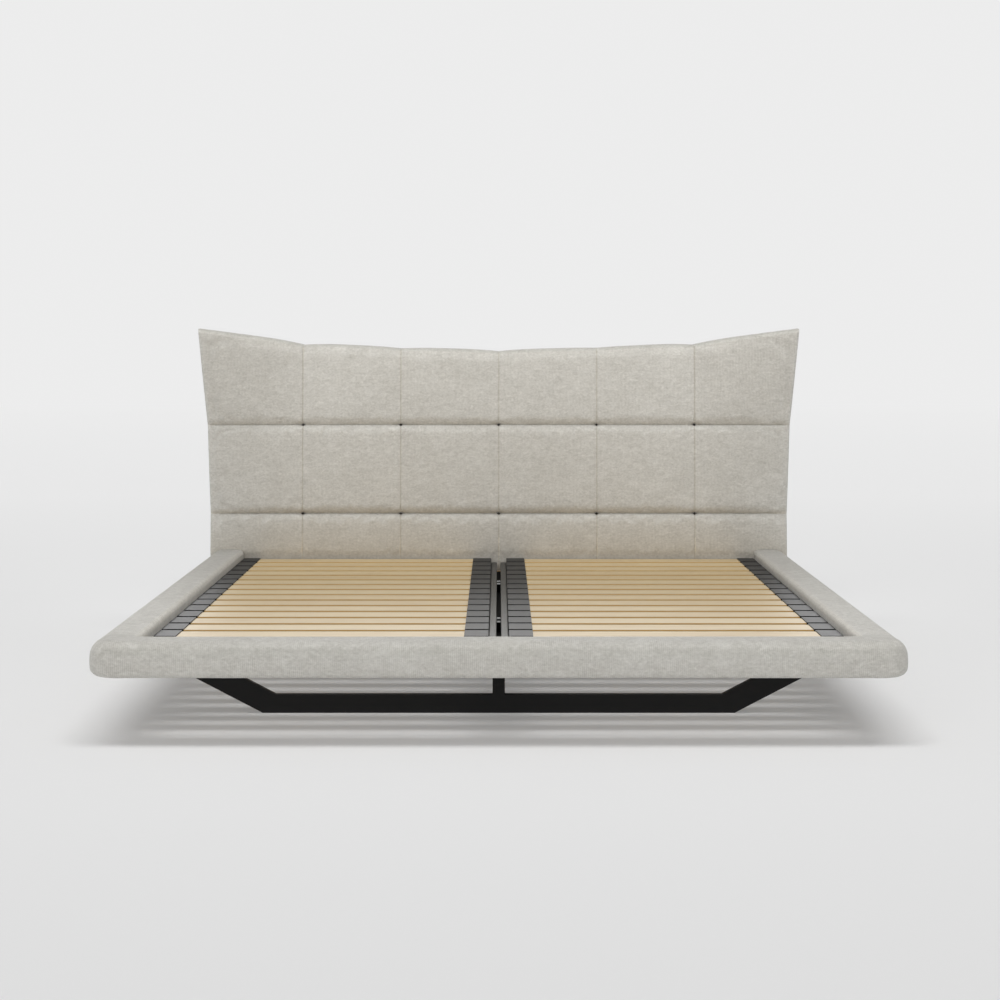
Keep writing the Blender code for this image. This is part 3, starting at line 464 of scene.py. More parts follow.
def finish_mesh(bm, name, smooth=True):
    bmesh.ops.recalc_face_normals(bm, faces=bm.faces)
    mesh = bpy.data.meshes.new(name)
    bm.to_mesh(mesh)
    bm.free()
    for face in mesh.polygons:
        face.use_smooth = smooth
    return mesh


def add_grid(bm, points):
    """Faces over a grid of points, shaped (rows, columns, 3); gives the vertices in the same layout."""
    verts = [[bm.verts.new(point) for point in row] for row in points]
    for low, high in zip(verts, verts[1:]):
        for a, b, c, d in zip(low, low[1:], high[1:], high):
            bm.faces.new((a, b, c, d))
    return verts


def border(grid):
    """The outline of a grid, as one loop that starts at its first corner."""
    grid = [list(row) for row in grid]
    return grid[0][:-1] + [row[-1] for row in grid[:-1]] + grid[-1][:0:-1] + [row[0] for row in grid[:0:-1]]


def join_loops(bm, first, second):
    """A band of faces between two loops of as many vertices."""
    for a, b, c, d in zip(first, first[1:] + first[:1], second[1:] + second[:1], second):
        bm.faces.new((a, b, c, d))


def bridge(bm, *loops):
    """Faces between two loops of different counts."""
    edges = [bm.edges.get(pair) for loop in loops for pair in zip(loop, loop[1:] + loop[:1])]
    bmesh.ops.bridge_loops(bm, edges=edges)


def smooth_noise(x, y, seed, scale):
    """Repeatable soft noise, from about -1 to 1, at arrays of places in metres."""
    flat = [noise.noise(Vector((a * scale, b * scale, seed))) for a, b in zip(x.ravel(), y.ravel())]
    return np.array(flat).reshape(x.shape)


def steps(stops, cell):
    """Places from stop to stop, evenly spaced between two stops."""
    places = [stops[0]]
    for low, high in zip(stops, stops[1:]):
        count = max(1, round((high - low) / cell))
        places += list(np.linspace(low, high, count + 1)[1:])
    return np.array(places)


def close_lines(stops, cell, seams, offsets):
    """Grid places between stops, with a set of closer ones beside each seam."""
    places = [p for p in steps(stops, cell)
              if all(not offsets[0] - cell / 3 < p - seam < offsets[-1] + cell / 3 for seam in seams)]
    places += [seam + offset for seam in seams for offset in offsets]
    return np.array(sorted(places))


def between(value, low, high):
    """A value's way from low to high, from 0 to 1."""
    return np.clip((value - low) / (high - low), 0, 1)


def nearest(value, places):
    """The distance to the nearest of the places."""
    return np.min(np.abs(value[..., None] - places), -1)


def taper(distance, reach, power=1):
    """From 1 at no distance to 0 at the reach."""
    return (1 - between(distance, 0, reach)) ** power


def bell(distance, width):
    return np.exp(-(distance / width) ** 2)


# ------------------------------------ cloth
def grid_mesh(name, points):
    """A mesh over a grid of points, shaped (rows, columns, 3)."""
    rows, columns = points.shape[:2]
    index = np.arange(rows * columns).reshape(rows, columns)
    quads = np.stack([index[:-1, :-1], index[:-1, 1:], index[1:, 1:], index[1:, :-1]], -1).reshape(-1, 4)
    mesh = bpy.data.meshes.new(name)
    mesh.from_pydata(points.reshape(-1, 3).tolist(), [], quads.tolist())
    return mesh


SHEET_FRAMES = 20
SHEET_STIFFNESS, SHEET_BENDING, SHEET_GROWTH = 18, 0.6, 0.02
PRESSURE, SWELL_LIMIT = 3.0, 0.010


def swell(name, points, pinned):
    """Cloth simulation: a sheet swells along its normals between its pinned lines, up to a limit."""
    sheet = add_object(name, grid_mesh(name, points))
    sheet.vertex_groups.new(name="pinned").add(np.flatnonzero(pinned.ravel()).tolist(), 1.0, "REPLACE")
    cloth = sheet.modifiers.new("cloth", "CLOTH").settings
    cloth.quality = 6
    cloth.mass = 0.3
    cloth.tension_stiffness = cloth.compression_stiffness = SHEET_STIFFNESS
    cloth.shear_stiffness = SHEET_STIFFNESS / 2
    cloth.bending_stiffness = SHEET_BENDING
    cloth.air_damping = 4
    cloth.use_pressure = True
    cloth.uniform_pressure_force = PRESSURE
    cloth.vertex_group_mass = "pinned"
    cloth.shrink_min = -SHEET_GROWTH
    cloth.effector_weights.gravity = 0
    scene = bpy.context.scene
    for number in range(1, SHEET_FRAMES + 1):
        scene.frame_set(number)
    shape = sheet.evaluated_get(bpy.context.evaluated_depsgraph_get())
    moved = np.array([v.co for v in shape.data.vertices]).reshape(points.shape)
    bpy.data.objects.remove(sheet)
    scene.frame_set(1)
    shift = moved - points
    length = np.linalg.norm(shift, axis=-1, keepdims=True)
    return points + shift * np.minimum(1, SWELL_LIMIT / np.maximum(length, 1e-9))


def resample(values, old_x, old_z, new_x, new_z):
    """Values on a coarse grid taken to a finer one, smoothly."""
    def along(grid, old, new):
        place = np.clip(np.searchsorted(old, new, "right") - 1, 0, len(old) - 2)
        t = ((new - old[place]) / (old[place + 1] - old[place])).reshape(-1, *[1] * (grid.ndim - 1))
        low, high = np.maximum(place - 1, 0), np.minimum(place + 2, len(old) - 1)
        a, b, c, d = grid[low], grid[place], grid[place + 1], grid[high]
        return b + 0.5 * t * (c - a + t * (2 * a - 5 * b + 4 * c - d + t * (3 * (b - c) + d - a)))
    return np.swapaxes(along(np.swapaxes(along(values, old_z, new_z), 0, 1), old_x, new_x), 0, 1)


# ------------------------------------ headboard
BOARD_TOP, BOARD_HALF = 0.961, 1.022
WING_START = 2 * SEAM_PITCH
PAD_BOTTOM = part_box("headboard_pad")[0].z
PAD_BACK = 0.0698
RIM_BACK = 0.0883  # how deep the padding wraps round the shell
RIM_INSET = 0.0068
RAIL_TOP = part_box("foot_rail_cover")[1].z
EDGE_ROUND = 0.014
COVER_FRONT, COVER_BACK, COVER_INSET = 0.0887, 0.0966, 0.003
COVER_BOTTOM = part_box("headboard_back_cover")[0].z
BACK_CELL, LINING_CELL = 0.014, (0.029, 0.027)
THREAD_RADIUS, WELT_RADIUS = 0.0014, 0.0026
UPRIGHT_SEAMS = np.array([-2, -1, 0, 1, 2]) * SEAM_PITCH
LEVEL_SEAMS = np.array([LOWER_SEAM, UPPER_SEAM])
CREST = 0.0030  # the sheet starts this far behind the face plane, so that it can swell
CROWN = 0.0045  # how far the squares stand forward of their seams
CELL, FINE_CELL = 0.0087, 0.0078  # of the sheet that the simulation swells, and of the finished front
UPRIGHT_LINES = (-0.0075, -0.0050, -0.0032, -0.0018, -0.0008, 0.0, 0.0008, 0.0018, 0.0032, 0.0050, 0.0075)
LEVEL_LINES = (-0.0100, -0.0065, -0.0040, -0.0022, -0.0010, 0.0, 0.0010, 0.0022, 0.0040, 0.0065, 0.0100, 0.0140,
               0.0190)  # the front's grid lines beside each seam
WING_OUT, WING_FORWARD, WING_UP = 0.029, 0.130, 0.049  # how far the upper corners reach
TOP_CURVE = 0.021  # how far the top edge rises from its middle to the wings
WING_FULLNESS = 0.0028  # how far the padding stands out past the wings' sides
UPRIGHT_ROLL, UPRIGHT_CREASE = 0.0009, 0.0019
UNDER_ROLL, UNDER_CREASE, LEVEL_CREASE = 0.0022, 0.0055, 0.0030
# Each level seam's height, where it fades in from the side, and how deep the roll above it is.
SEAM_FORMS = ((LOWER_SEAM, 0.026, 0.070, 0.0080), (UPPER_SEAM, 0.003, 0.030, 0.0056))
PUCKER, RIPPLE = 0.0030, 0.0019
TUFT, TUFT_DISH = 0.018, 0.0026
TOP_RISE, MIDDLE_DROP = 0.0085, 0.0030  # of the top edge between the seams, and less over the middle
TOP_NOTCHES = (0.0085, 0.0060, 0.0080, 0.0040, 0.0080)  # of the top edge at the seams, from left to right


def bend(x, z, depth):
    """Where points of the flat headboard lie: it leans back, and its upper corners flare."""
    wing = between(np.abs(x), WING_START, BOARD_HALF)
    top = between(z, UPPER_SEAM, BOARD_TOP)
    flare = 0.25 * between(z, LOWER_SEAM, UPPER_SEAM) + 0.75 * top
    height = z + top * (TOP_CURVE * np.minimum(1, (x / WING_START) ** 2) + WING_UP * wing)
    lean = LEAN * np.maximum(0, height - RAIL_TOP)
    out = np.sign(x) * WING_OUT * wing * flare
    return np.stack([x + out, FACE_Y + depth + lean - WING_FORWARD * wing * flare, height], -1)


def place(cells):
    """World places of flat cells: X, height, depth, and the lift of the top edge."""
    points = bend(cells[..., 0], cells[..., 1], cells[..., 2])
    full = between(np.abs(cells[..., 0]), 0.93, BOARD_HALF) * between(RIM_BACK - cells[..., 2], 0, 0.02)
    points[..., 0] += np.sign(cells[..., 0]) * WING_FULLNESS * full
    points[..., 2] += cells[..., 3]
    return points


def round_off(to_edge, radius):
    """How far a rounded edge falls back at a distance from it."""
    inside = radius - np.clip(to_edge, 0, radius)
    return radius - np.sqrt(np.maximum(0, radius ** 2 - inside ** 2))


def sewn_depth(x, z):
    """How far the front is drawn in along its seams and at its tufts."""
    side = BOARD_HALF - np.abs(x)
    across = nearest(x, UPRIGHT_SEAMS)
    fade = between(z, PAD_BOTTOM + 0.03, RAIL_TOP)
    depth = fade * (UPRIGHT_ROLL * taper(across, 0.014, 2) + UPRIGHT_CREASE * bell(across, 0.0014))
    for level, start, end, roll in SEAM_FORMS:
        rise = z - level
        over, under, above = np.maximum(0, rise), np.maximum(0, -rise), rise > 0
        kept = between(side, start, end)
        seam = np.where(rise >= 0, roll * taper(over, 0.036, 2.3),
                        UNDER_ROLL * taper(under, 0.012, 1.6) + UNDER_CREASE * bell(under, 0.0012))
        depth = np.maximum(depth, (seam + LEVEL_CREASE * bell(rise, 0.0013)) * kept)
        pucker = PUCKER * taper(over, 0.034) * bell(across, 0.0030) * above
        ripple = smooth_noise(x, z * 0.3, level, 58) * RIPPLE * np.exp(-over / 0.016) * above
        depth = depth + pucker + ripple * kept
        tuft = np.hypot(across, rise)
        depth = depth + TUFT * bell(tuft, 0.0040) + TUFT_DISH * bell(tuft, 0.016)
    return depth


def crown(x, z):
    """The soft crown of each square, from 0 at its seams to 1 in its middle."""
    columns = np.concatenate([[-BOARD_HALF - 0.02], UPRIGHT_SEAMS, [BOARD_HALF + 0.02]])
    rows = np.array([RAIL_TOP - 0.11, LOWER_SEAM, UPPER_SEAM, BOARD_TOP + 0.03])

    def share(value, stops):
        spot = np.clip(np.searchsorted(stops, value, "right") - 1, 0, len(stops) - 2)
        t = (value - stops[spot]) / (stops[spot + 1] - stops[spot])
        return 1 - np.abs(2 * np.clip(t, 0, 1) - 1) ** 2.1
    return (0.88 + 0.12 * share(x, columns)) * share(z, rows)


def top_lift(x):
    """How far the top edge rises between the seams, less in the two middle squares."""
    notch = np.zeros_like(x)
    for seam, deep in zip(UPRIGHT_SEAMS, TOP_NOTCHES):
        notch = np.maximum(notch, deep * taper(np.abs(x - seam), 0.150, 2.2))
    return TOP_RISE - notch - MIDDLE_DROP * (1 - between(np.abs(x), 0.10, 0.34))


def cushion_front():
    """The cushion's front as flat cells: a swollen sheet with its seams, tufts and round edges put in."""
    inner, top = BOARD_HALF - EDGE_ROUND, BOARD_TOP - EDGE_ROUND
    stops_x = [-inner, *UPRIGHT_SEAMS, inner]
    stops_z = [PAD_BOTTOM, RAIL_TOP - 0.02, LOWER_SEAM, UPPER_SEAM, top]
    coarse_x, coarse_z = steps(stops_x, CELL), steps(stops_z, CELL)
    x, z = np.meshgrid(coarse_x, coarse_z)
    flat = np.stack([x, CREST + CROWN * (1 - crown(x, z)), z], -1)
    level = (nearest(z, LEVEL_SEAMS) < 1e-5) & (np.abs(x) < BOARD_HALF - 0.05)
    pinned = level | (z < RAIL_TOP - 0.015)
    pinned[-1] = pinned[:, 0] = pinned[:, -1] = True
    shift = swell("headboard_sheet", flat, pinned) - flat
    turn = EDGE_ROUND * (1 - np.cos(np.radians((0, 20, 38, 54, 68, 80))))
    fine_x = close_lines(stops_x, FINE_CELL, UPRIGHT_SEAMS, UPRIGHT_LINES)
    fine_z = close_lines(stops_z, FINE_CELL, LEVEL_SEAMS, LEVEL_LINES)
    fine_x = np.concatenate([turn - BOARD_HALF, fine_x, BOARD_HALF - turn[::-1]])
    fine_z = np.concatenate([fine_z, BOARD_TOP - turn[::-1]])
    x, z = np.meshgrid(fine_x, fine_z)
    inner_x, inner_z = np.clip(fine_x, -inner, inner), np.clip(fine_z, PAD_BOTTOM, top)
    shift = resample(shift, coarse_x, coarse_z, inner_x, inner_z)
    depth = np.maximum(CREST + CROWN * (1 - crown(x, z)) + shift[..., 1], 0.0) + sewn_depth(x, z)
    depth += round_off(BOARD_HALF - np.abs(x), EDGE_ROUND) + round_off(BOARD_TOP - z, EDGE_ROUND)
    lift = top_lift(x) * between(z, UPPER_SEAM, BOARD_TOP) ** 2
    return np.stack([x + shift[..., 0], z + shift[..., 2], depth, lift], -1), x, z


def lined_panel(name, cells, x, z, rings, lining):
    """A closed panel: a grid of flat cells, rings that go round its edge, and a plain lining behind."""
    bm = bmesh.new()
    last = border(add_grid(bm, place(cells)))
    outline = [(*flat, cell[2], cell[3]) for flat, cell in zip(border(np.stack([x, z], -1)), border(cells))]
    for ring in rings:
        flat = np.array([(*ring(px, pz, depth), rise) for px, pz, depth, rise in outline])
        made = [bm.verts.new(point) for point in place(flat)]
        join_loops(bm, last, made)
        last = made
    half, bottom, top, depth = lining
    lx, lz = np.meshgrid(steps([-half, -WING_START, WING_START, half], LINING_CELL[0]),
                         steps([bottom, LOWER_SEAM, UPPER_SEAM, top], LINING_CELL[1]))
    back = add_grid(bm, place(np.stack([lx, lz, np.full_like(lx, depth), 0 * lx], -1)))
    bridge(bm, last, border(back))
    return finish_mesh(bm, name)


def inset(px, pz, by, half=BOARD_HALF - 0.004, top=BOARD_TOP - 0.004, bottom=PAD_BOTTOM + 0.001):
    """A place on the outline moved inwards, where it lies past the sides, the top or the bottom."""
    ix = px - math.copysign(by, px) if abs(px) > half else px
    if pz > top:
        return ix, pz - by
    return ix, pz + by if pz < bottom else pz


def build_cushion():
    """The tufted front, its sides wrapped round the pad and folded in behind it."""
    def behind(px, pz, depth):
        """How deep the cloth goes at a place of the outline: less where it passes under the pad."""
        under = pz < PAD_BOTTOM + 0.001 and abs(px) < BOARD_HALF - RIM_INSET - 0.001
        return PAD_BACK if under else depth

    def wrap(share):
        def ring(px, pz, front):
            place_in = inset(px, pz, -0.0015 * math.sin(math.pi * share))
            return *place_in, front + (behind(px, pz, RIM_BACK) - front) * share
        return ring

    def fold(depth, by):
        return lambda px, pz, front: (*inset(px, pz, by), behind(px, pz, depth))
    cells, x, z = cushion_front()
    rings = [wrap(share) for share in (0.12, 0.3, 0.5, 0.7, 0.88, 1.0)]
    rings += [fold(RIM_BACK, RIM_INSET), fold(PAD_BACK, RIM_INSET + 0.0004)]
    mesh = lined_panel("headboard_cushion", cells, x, z, rings,
                       (BOARD_HALF - 0.03, PAD_BOTTOM + 0.03, BOARD_TOP - 0.03, PAD_BACK))
    cushion = add_piece("headboard_cushion", mesh, "bed_frame", "upholstery", "headboard_pad")


def build_ties():
    """A cross stitch of near-black thread in each tuft, its colour partly painted shade of the tuft's pit."""
    bm = bmesh.new()
    for x in UPRIGHT_SEAMS:
        for z in LEVEL_SEAMS:
            for dx, dz in ((0.0045, 0.0), (0.0, 0.0030)):
                flat = np.array([(x + k * dx, z + k * dz, 0.0105 + 0.004 * k * k, 0.0)
                                 for k in np.linspace(-1, 1, 7)])
                add_tube(bm, place(flat), THREAD_RADIUS)
    thread = Nodes("tuft_thread", Roughness=0.8)
    fibres = thread.noise(thread.place()[0], 900.0)
    # near-black: partly the thread's colour, partly painted shade in the tuft's pit
    thread.link(thread.ramp(fibres, (0.3, srgb(26, 21, 16)), (0.7, srgb(42, 34, 26))), "Base Color")
    ties = add_piece("tuft_ties", finish_mesh(bm, "tuft_ties"), "bed_frame", "upholstery")
    ties.data.materials[0] = thread.material


def build_back_panel():
    """The padded cloth panel that closes the back."""
    half, top, radius = BOARD_HALF - COVER_INSET, BOARD_TOP - COVER_INSET, 0.006
    turn = radius * (1 - np.cos(np.radians((0, 25, 50, 72))))
    columns = steps([radius - half, -WING_START, WING_START, half - radius], BACK_CELL)
    rows = steps([COVER_BOTTOM + radius, LOWER_SEAM, UPPER_SEAM, top - radius], BACK_CELL)
    columns = np.concatenate([turn - half, columns, half - turn[::-1]])
    rows = np.concatenate([COVER_BOTTOM + turn, rows, top - turn[::-1]])
    x, z = np.meshgrid(columns, rows)
    to_edge = np.minimum(np.minimum(half - np.abs(x), top - z), z - COVER_BOTTOM)
    seam = 0.0016 * bell(nearest(x, np.array([-WING_START, WING_START])), 0.010)
    soft = 0.0009 * smooth_noise(x, z, 7.0, 5.0) * between(to_edge, 0, 0.1) + 0.0012 * between(to_edge, 0, 0.12)
    depth = COVER_BACK + soft - seam - round_off(to_edge, radius)
    cells = np.stack([x, z, depth, 0 * x], -1)

    def ring(by):
        return lambda px, pz, back: (*inset(px, pz, by, half - 0.001, top - 0.001, COVER_BOTTOM + 0.001),
                                     COVER_FRONT)
    mesh = lined_panel("headboard_back_panel", cells, x, z, [ring(0.0), ring(0.008)],
                       (half - 0.02, COVER_BOTTOM + 0.02, top - 0.02, COVER_FRONT))
    panel = add_piece("headboard_back_panel", mesh, "bed_frame", "upholstery", "headboard_back_cover")


def add_rings(bm, rings):
    """A closed skin over rings of as many points each."""
    rings = [[bm.verts.new(point) for point in ring] for ring in rings]
    for first, second in zip(rings, rings[1:]):
        join_loops(bm, first, second)
    bm.faces.new(rings[0])
    bm.faces.new(rings[-1])


def add_tube(bm, path, radius, sides=8):
    """A round tube along an open path, closed at both ends."""
    path = [Vector(point) for point in path]
    rings = []
    for number, point in enumerate(path):
        ahead = (path[min(number + 1, len(path) - 1)] - path[max(number - 1, 0)]).normalized()
        side = ahead.cross(Vector((0, 1, 0))).normalized()
        other = ahead.cross(side)
        rings.append([point + radius * (math.cos(a) * side + math.sin(a) * other)
                      for a in (math.tau * k / sides for k in range(sides))])
    add_rings(bm, rings)


def build_welt():
    """The piping where the cushion's side meets the back panel."""
    edge, top = BOARD_HALF - 0.0012, BOARD_TOP - 0.0012
    side = steps([PAD_BOTTOM + 0.002, LOWER_SEAM, UPPER_SEAM, top], 0.02)
    places = [(-edge, z) for z in side]
    places += [(x, top) for x in steps([-edge, -WING_START, 0.0, WING_START, edge], 0.02)[1:]]
    places += [(edge, z) for z in side[-2::-1]]
    x, z = np.array(places).T
    lift = top_lift(x) * between(z, UPPER_SEAM, BOARD_TOP) ** 2
    path = place(np.stack([x, z, np.full(len(places), RIM_BACK + 0.0012), lift], -1))
    bm = bmesh.new()
    add_tube(bm, path, WELT_RADIUS)
    add_piece("headboard_welt", finish_mesh(bm, "headboard_welt"), "bed_frame", "upholstery")


def build_hem():
    """The cloth drawn over the shell's front and round its edges, below the cushion."""
    side, low = BOARD_HALF - RIM_INSET + 0.0003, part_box("headboard_shell")[0].z
    front, back = FACE_Y + PAD_BACK - 0.0036, FACE_Y + COVER_FRONT - 0.0004
    face = front + 0.0004
    bm = bmesh.new()
    for way in (-1, 1):
        x = sorted((way * side, way * (side + 0.0045)))
        bevel_box(bm, (x[0], front, low - 0.0030), (x[1], back, PAD_BOTTOM - 0.0006), 0.0012, 2)
    bevel_box(bm, (0.0006 - side, face, low - 0.0034), (side - 0.0006, back, low - 0.0003), 0.0012, 2)
    bevel_box(bm, (0.0006 - side, face, low), (side - 0.0006, front + 0.0032, PAD_BOTTOM - 0.0008), 0.0008, 2)
    add_piece("headboard_hem", finish_mesh(bm, "headboard_hem", False), "bed_frame", "upholstery")


# ------------------------------------ padded rails
INNER_X, OUTER_X = (corner.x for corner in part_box("right_rail_cover"))
INNER_Y, RAIL_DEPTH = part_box("foot_rail_cover")[1].y, OUTER_X - INNER_X
RAIL_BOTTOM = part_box("foot_rail_cover")[0].z
TOP_ROUND, UNDER_ROUND, LIP_ROUND, CORNER_ROUND = 0.042, 0.024, 0.018, 0.070
INNER_FILLET = 0.016
TOP_BULGE, FACE_BULGE = 0.0008, 0.0006
STATION_STEP = 0.018
CHANNEL = (0.0055, 0.0316, 0.0705)  # the board's room: inner side, outer side, height


def arc(centre, radius, start, end, count):
    """Points on an arc, angles in degrees."""
    return [(centre[0] + radius * math.cos(math.radians(a)), centre[1] + radius * math.sin(math.radians(a)))
            for a in np.linspace(start, end, count)]


def rail_section():
    """The rail's outline: distance outwards from the inner face, and height over the underside."""
    depth, height = RAIL_DEPTH, RAIL_TOP - RAIL_BOTTOM
    points = [(0.0, z) for z in np.linspace(0.003, height - LIP_ROUND, 6)]
    points += arc((LIP_ROUND, height - LIP_ROUND), LIP_ROUND, 180, 90, 10)[1:]
    flat = np.linspace(LIP_ROUND, depth - TOP_ROUND, 8)[1:-1]
    points += [(r, height + TOP_BULGE * math.sin(math.pi * (r - LIP_ROUND) / (depth - TOP_ROUND - LIP_ROUND)))
               for r in flat]
    shoulder = height - TOP_ROUND
    points += arc((depth - TOP_ROUND, shoulder), TOP_ROUND, 90, 0, 13)
    points += [(depth + FACE_BULGE * math.sin(math.pi * (shoulder - z) / (shoulder - UNDER_ROUND)), z)
               for z in np.linspace(shoulder, UNDER_ROUND, 5)[1:-1]]
    points += arc((depth - UNDER_ROUND, UNDER_ROUND), UNDER_ROUND, 0, -90, 10)
    points += [(r, 0.0) for r in np.linspace(depth - UNDER_ROUND, CHANNEL[1] + 0.002, 6)[1:]]
    points += [(CHANNEL[1], 0.002), (CHANNEL[1], CHANNEL[2]), (CHANNEL[0], CHANNEL[2]), (CHANNEL[0], 0.002)]
    return points + [(CHANNEL[0] - 0.0015, 0.0), (0.001, 0.0)]


def corner_reach(point, way):
    """Distance from a place on the inner edge to the outer outline, along a direction in plan."""
    reach = min((RAIL_DEPTH + INNER_X - point[0]) / way[0] if way[0] > 1e-9 else 9,
                (point[1] - INNER_Y + RAIL_DEPTH) / -way[1] if way[1] < -1e-9 else 9)
    centre = (INNER_X + RAIL_DEPTH - CORNER_ROUND, INNER_Y - RAIL_DEPTH + CORNER_ROUND)
    hit = (point[0] + way[0] * reach, point[1] + way[1] * reach)
    if hit[0] > centre[0] and hit[1] < centre[1]:
        dx, dy = point[0] - centre[0], point[1] - centre[1]
        along = dx * way[0] + dy * way[1]
        reach = -along + math.sqrt(along ** 2 - dx ** 2 - dy ** 2 + CORNER_ROUND ** 2)
    return reach


def rail_stations():
    """Places along the inner edge from the right head end to the foot's middle, each with its outward way."""
    side = steps([FACE_Y - 0.0004, INNER_Y + INNER_FILLET], STATION_STEP)
    foot = steps([INNER_X - INNER_FILLET, 0.0], STATION_STEP)
    stations = [((INNER_X, y), (1.0, 0.0)) for y in side]
    centre = (INNER_X - INNER_FILLET, INNER_Y + INNER_FILLET)
    for angle in np.linspace(0, 90, 29)[1:-1]:
        way = (math.cos(math.radians(angle)), -math.sin(math.radians(angle)))
        stations.append(((centre[0] + INNER_FILLET * way[0], centre[1] + INNER_FILLET * way[1]), way))
    return stations + [((x, INNER_Y), (0.0, -1.0)) for x in foot]


def stretched(r, way, reach):
    """A distance of the section, stretched at a corner so that its outer round keeps its size."""
    square = 1.0 / max(abs(way[0]), abs(way[1]))
    low, high = CHANNEL[1], RAIL_DEPTH - TOP_ROUND
    if r <= low:
        return r * square
    if r >= high:
        return reach - (RAIL_DEPTH - r)
    start, end = low * square, reach - TOP_ROUND
    return start + (end - start) * (r - low) / (high - low)


def build_rail_cushion():
    """One padded cover round the foot and both sides, as one cut of cloth."""
    section = rail_section()
    half = rail_stations()
    stations = half + [((-x, y), (-way[0], way[1])) for (x, y), way in half[-2::-1]]
    rows = []
    for (x, y), way in stations:
        right_way = (abs(way[0]), way[1])
        reach = corner_reach((abs(x), y), right_way)
        out = [stretched(r, right_way, reach) for r, _ in section]
        rows.append([(x + way[0] * r, y + way[1] * r, RAIL_BOTTOM + z) for r, (_, z) in zip(out, section)])
    points = np.array(rows)
    centre = points.mean(1, keepdims=True)
    outward = points - centre
    outward /= np.linalg.norm(outward, axis=-1, keepdims=True)
    soft = 0.0007 * smooth_noise(points[..., 0] + points[..., 2], points[..., 1] + points[..., 2], 3.0, 9.0)
    soft += 0.0004 * smooth_noise(points[..., 0] - points[..., 2], points[..., 1], 5.0, 26.0)
    channel_top = [(CHANNEL[0], CHANNEL[2]), (CHANNEL[1], CHANNEL[2])]
    shown = np.array([0.0 if z < 0.004 or (r, z) in channel_top else 1.0 for r, z in section])
    points = points + outward * (soft * shown)[..., None]
    bm = bmesh.new()
    add_rings(bm, points)
    mesh = finish_mesh(bm, "rail_cushion")
    cushion = add_piece("rail_cushion", mesh, "bed_frame", "upholstery", "foot_rail_cover", "left_rail_cover",
                        "right_rail_cover")


# ------------------------------------ slatted bases
BASE_FOOT, BASE_HEAD = (corner.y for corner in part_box("left_base_inner_rail"))
TUBE_WIDTH, TUBE_BOTTOM, TUBE_TOP = 0.020, 0.1825, 0.2125
SLAT_LOW, SLAT_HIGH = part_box("slat_right_01")
HOLDER_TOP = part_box("right_base_outer_rail")[1].z
HOLDER_BOTTOM, HOLDER_WIDTH, HOLDER_WALL = 0.2017, 0.106, 0.003
HOLDER_ROOMS = 4  # the hollows under a slat's end
GAP = 0.0004  # between a holder and what it holds
CUT_PAST = 0.01  # how far a cut reaches past the surface that it opens
PLUG_HEAD, TUBE_SETBACK, PLUG_INSET = 0.0015, 0.0016, 0.0004
ANGLE_WALL = 0.0032  # of the support angle, with its room to the tube


def box_into(bm, low, high):
    """A plain box between two corners; gives its vertices."""
    made = bmesh.ops.create_cube(bm, size=1.0)["verts"]
    low, high = Vector(low), Vector(high)
    bmesh.ops.scale(bm, vec=high - low, verts=made)
    bmesh.ops.translate(bm, vec=(low + high) / 2, verts=made)
    return made


def bevel_box(bm, low, high, radius, segments, test=lambda edge: True):
    """A box with rounded edges, where a test lets them be round."""
    made = set(box_into(bm, low, high))
    edges = [e for e in bm.edges if e.verts[0] in made and e.verts[1] in made and test(e)]
    bmesh.ops.bevel(bm, geom=edges, offset=radius, offset_type="OFFSET", segments=segments, profile=0.5,
                    affect="EDGES", clamp_overlap=True)


def cut_mesh(solid, cuts, name):
    """A mesh with others cut from it."""
    holder = add_object(name, solid)
    tools = [add_object(f"{name}_{number}", cut) for number, cut in enumerate(cuts)]
    for tool in tools:
        modifier = holder.modifiers.new("cut", "BOOLEAN")
        modifier.object = tool
        modifier.solver = "EXACT"
    shape = holder.evaluated_get(bpy.context.evaluated_depsgraph_get())
    mesh = bpy.data.meshes.new_from_object(shape)
    for tool in tools:
        bpy.data.objects.remove(tool)
    bpy.data.objects.remove(holder)
    return mesh


def mesh_of_boxes(name, boxes):
    bm = bmesh.new()
    for low, high in boxes:
        box_into(bm, low, high)
    return finish_mesh(bm, name, False)


def holder_mesh(low_x, high_x, mouth, tube):
    """One holder of the right base, centred on Y = 0, with its mouth at its high X (1) or its low X (-1)."""
    bm = bmesh.new()
    bevel_box(bm, (low_x, -HOLDER_WIDTH / 2, HOLDER_BOTTOM), (high_x, HOLDER_WIDTH / 2, HOLDER_TOP), 0.0009, 2)
    solid = finish_mesh(bm, "holder", False)
    slat_end = SLAT_LOW.x if mouth > 0 else SLAT_HIGH.x
    open_x = high_x + CUT_PAST if mouth > 0 else low_x - CUT_PAST
    half = (SLAT_HIGH.y - SLAT_LOW.y) / 2 + GAP
    pocket = ((min(slat_end, open_x), -half, SLAT_LOW.z - GAP),
              (max(slat_end, open_x), half, SLAT_HIGH.z + GAP))
    rooms, room = [], (HOLDER_WIDTH - HOLDER_WALL) / HOLDER_ROOMS
    for k in range(HOLDER_ROOMS):
        start = -HOLDER_WIDTH / 2 + HOLDER_WALL + k * room
        rooms.append(((low_x + HOLDER_WALL, start, HOLDER_BOTTOM - CUT_PAST),
                      (high_x - HOLDER_WALL, start + room - HOLDER_WALL, SLAT_LOW.z - HOLDER_WALL)))
    cuts = [mesh_of_boxes("pocket", [pocket]), mesh_of_boxes("rooms", rooms)]
    if tube:
        tube_room = ((tube[0] - GAP, -0.1, 0.1), (tube[1] + GAP, 0.1, TUBE_TOP + GAP))
        cuts.append(mesh_of_boxes("tube_room", [tube_room]))
    return cut_mesh(solid, cuts, "holder")


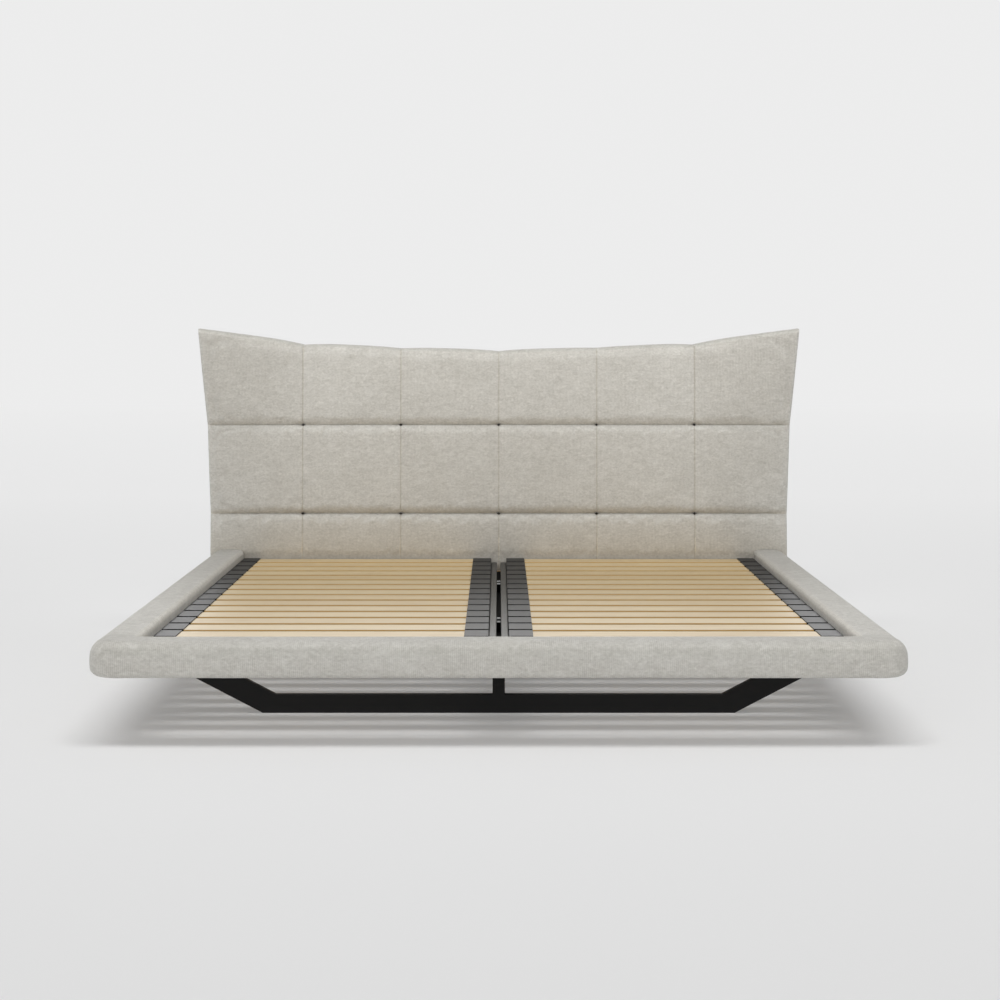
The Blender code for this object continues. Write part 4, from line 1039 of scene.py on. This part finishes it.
def repeat_mesh(name, mesh, middles, side):
    """Copies of a mesh along Y, mirrored in X on the left."""
    points = np.array([v.co for v in mesh.vertices])
    faces = [list(face.vertices) for face in mesh.polygons]
    verts, quads = [], []
    for middle in middles:
        start = len(verts)
        verts += [(side * x, y + middle, z) for x, y, z in points]
        quads += [[start + index for index in (face if side > 0 else face[::-1])] for face in faces]
    made = bpy.data.meshes.new(name)
    made.from_pydata(verts, [], quads)
    return made


def tube_mesh(name, low, high):
    """A steel side tube with softened edges."""
    bm = bmesh.new()
    bevel_box(bm, low, high, 0.0022, 3, lambda e: abs(e.verts[0].co.y - e.verts[1].co.y) > 1e-4)
    return finish_mesh(bm, name, False)


def plug_mesh(name, low, high):
    """The plastic plugs in both ends of a tube."""
    bm = bmesh.new()
    for y, out in ((low[1], 1), (high[1], -1)):
        near_y, far_y = sorted((y, y + out * PLUG_HEAD))
        bevel_box(bm, (low[0] + PLUG_INSET, near_y, low[2] + PLUG_INSET),
                  (high[0] - PLUG_INSET, far_y, high[2] - PLUG_INSET), 0.0006, 2)
    return finish_mesh(bm, name, False)


def build_bases():
    """The tubes, end plugs and rows of holders of both bases."""
    slats = [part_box(f"slat_right_{k:02d}") for k in range(1, 17)]
    middles = [(slat[0].y + slat[1].y) / 2 for slat in slats]
    inner_low, inner_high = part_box("right_base_inner_rail")
    outer_low, outer_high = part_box("right_base_outer_rail")
    outer_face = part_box("right_support_angle")[1].x - ANGLE_WALL
    inner_tube = (inner_low.x, inner_low.x + TUBE_WIDTH)
    outer_tube = (outer_face - TUBE_WIDTH, outer_face)
    kinds = {
        "inner": (inner_tube, holder_mesh(inner_tube[1] + GAP, inner_high.x, 1, None)),
        "outer": (outer_tube, holder_mesh(outer_low.x, outer_high.x, -1, outer_tube)),
    }
    for name, side in (("left", -1), ("right", 1)):
        body = f"{name}_slat_base"
        for kind, (rail, holder) in kinds.items():
            low_x, high_x = sorted((side * rail[0], side * rail[1]))
            node = f"{name}_base_{kind}_rail"
            tube = tube_mesh("tube", (low_x, BASE_FOOT + TUBE_SETBACK, TUBE_BOTTOM),
                             (high_x, BASE_HEAD - TUBE_SETBACK, TUBE_TOP))
            plugs = plug_mesh("plugs", (low_x, BASE_FOOT, TUBE_BOTTOM), (high_x, BASE_HEAD, TUBE_TOP))
            holders = repeat_mesh("holders", holder, middles, side)
            add_piece(f"{name}_{kind}_tube", tube, body, "base_steel", node)
            add_piece(f"{name}_{kind}_plugs", plugs, body, "holder_plastic")
            add_piece(f"{name}_{kind}_holders", holders, body, "holder_plastic", node)


bpy.context.scene.view_settings.view_transform = "Standard"
build_camera()
build_world()
build_floor()
build_lights()
dress_cad_nodes()
build_cushion()
build_ties()
build_back_panel()
build_welt()
build_hem()
build_rail_cushion()
build_bases()
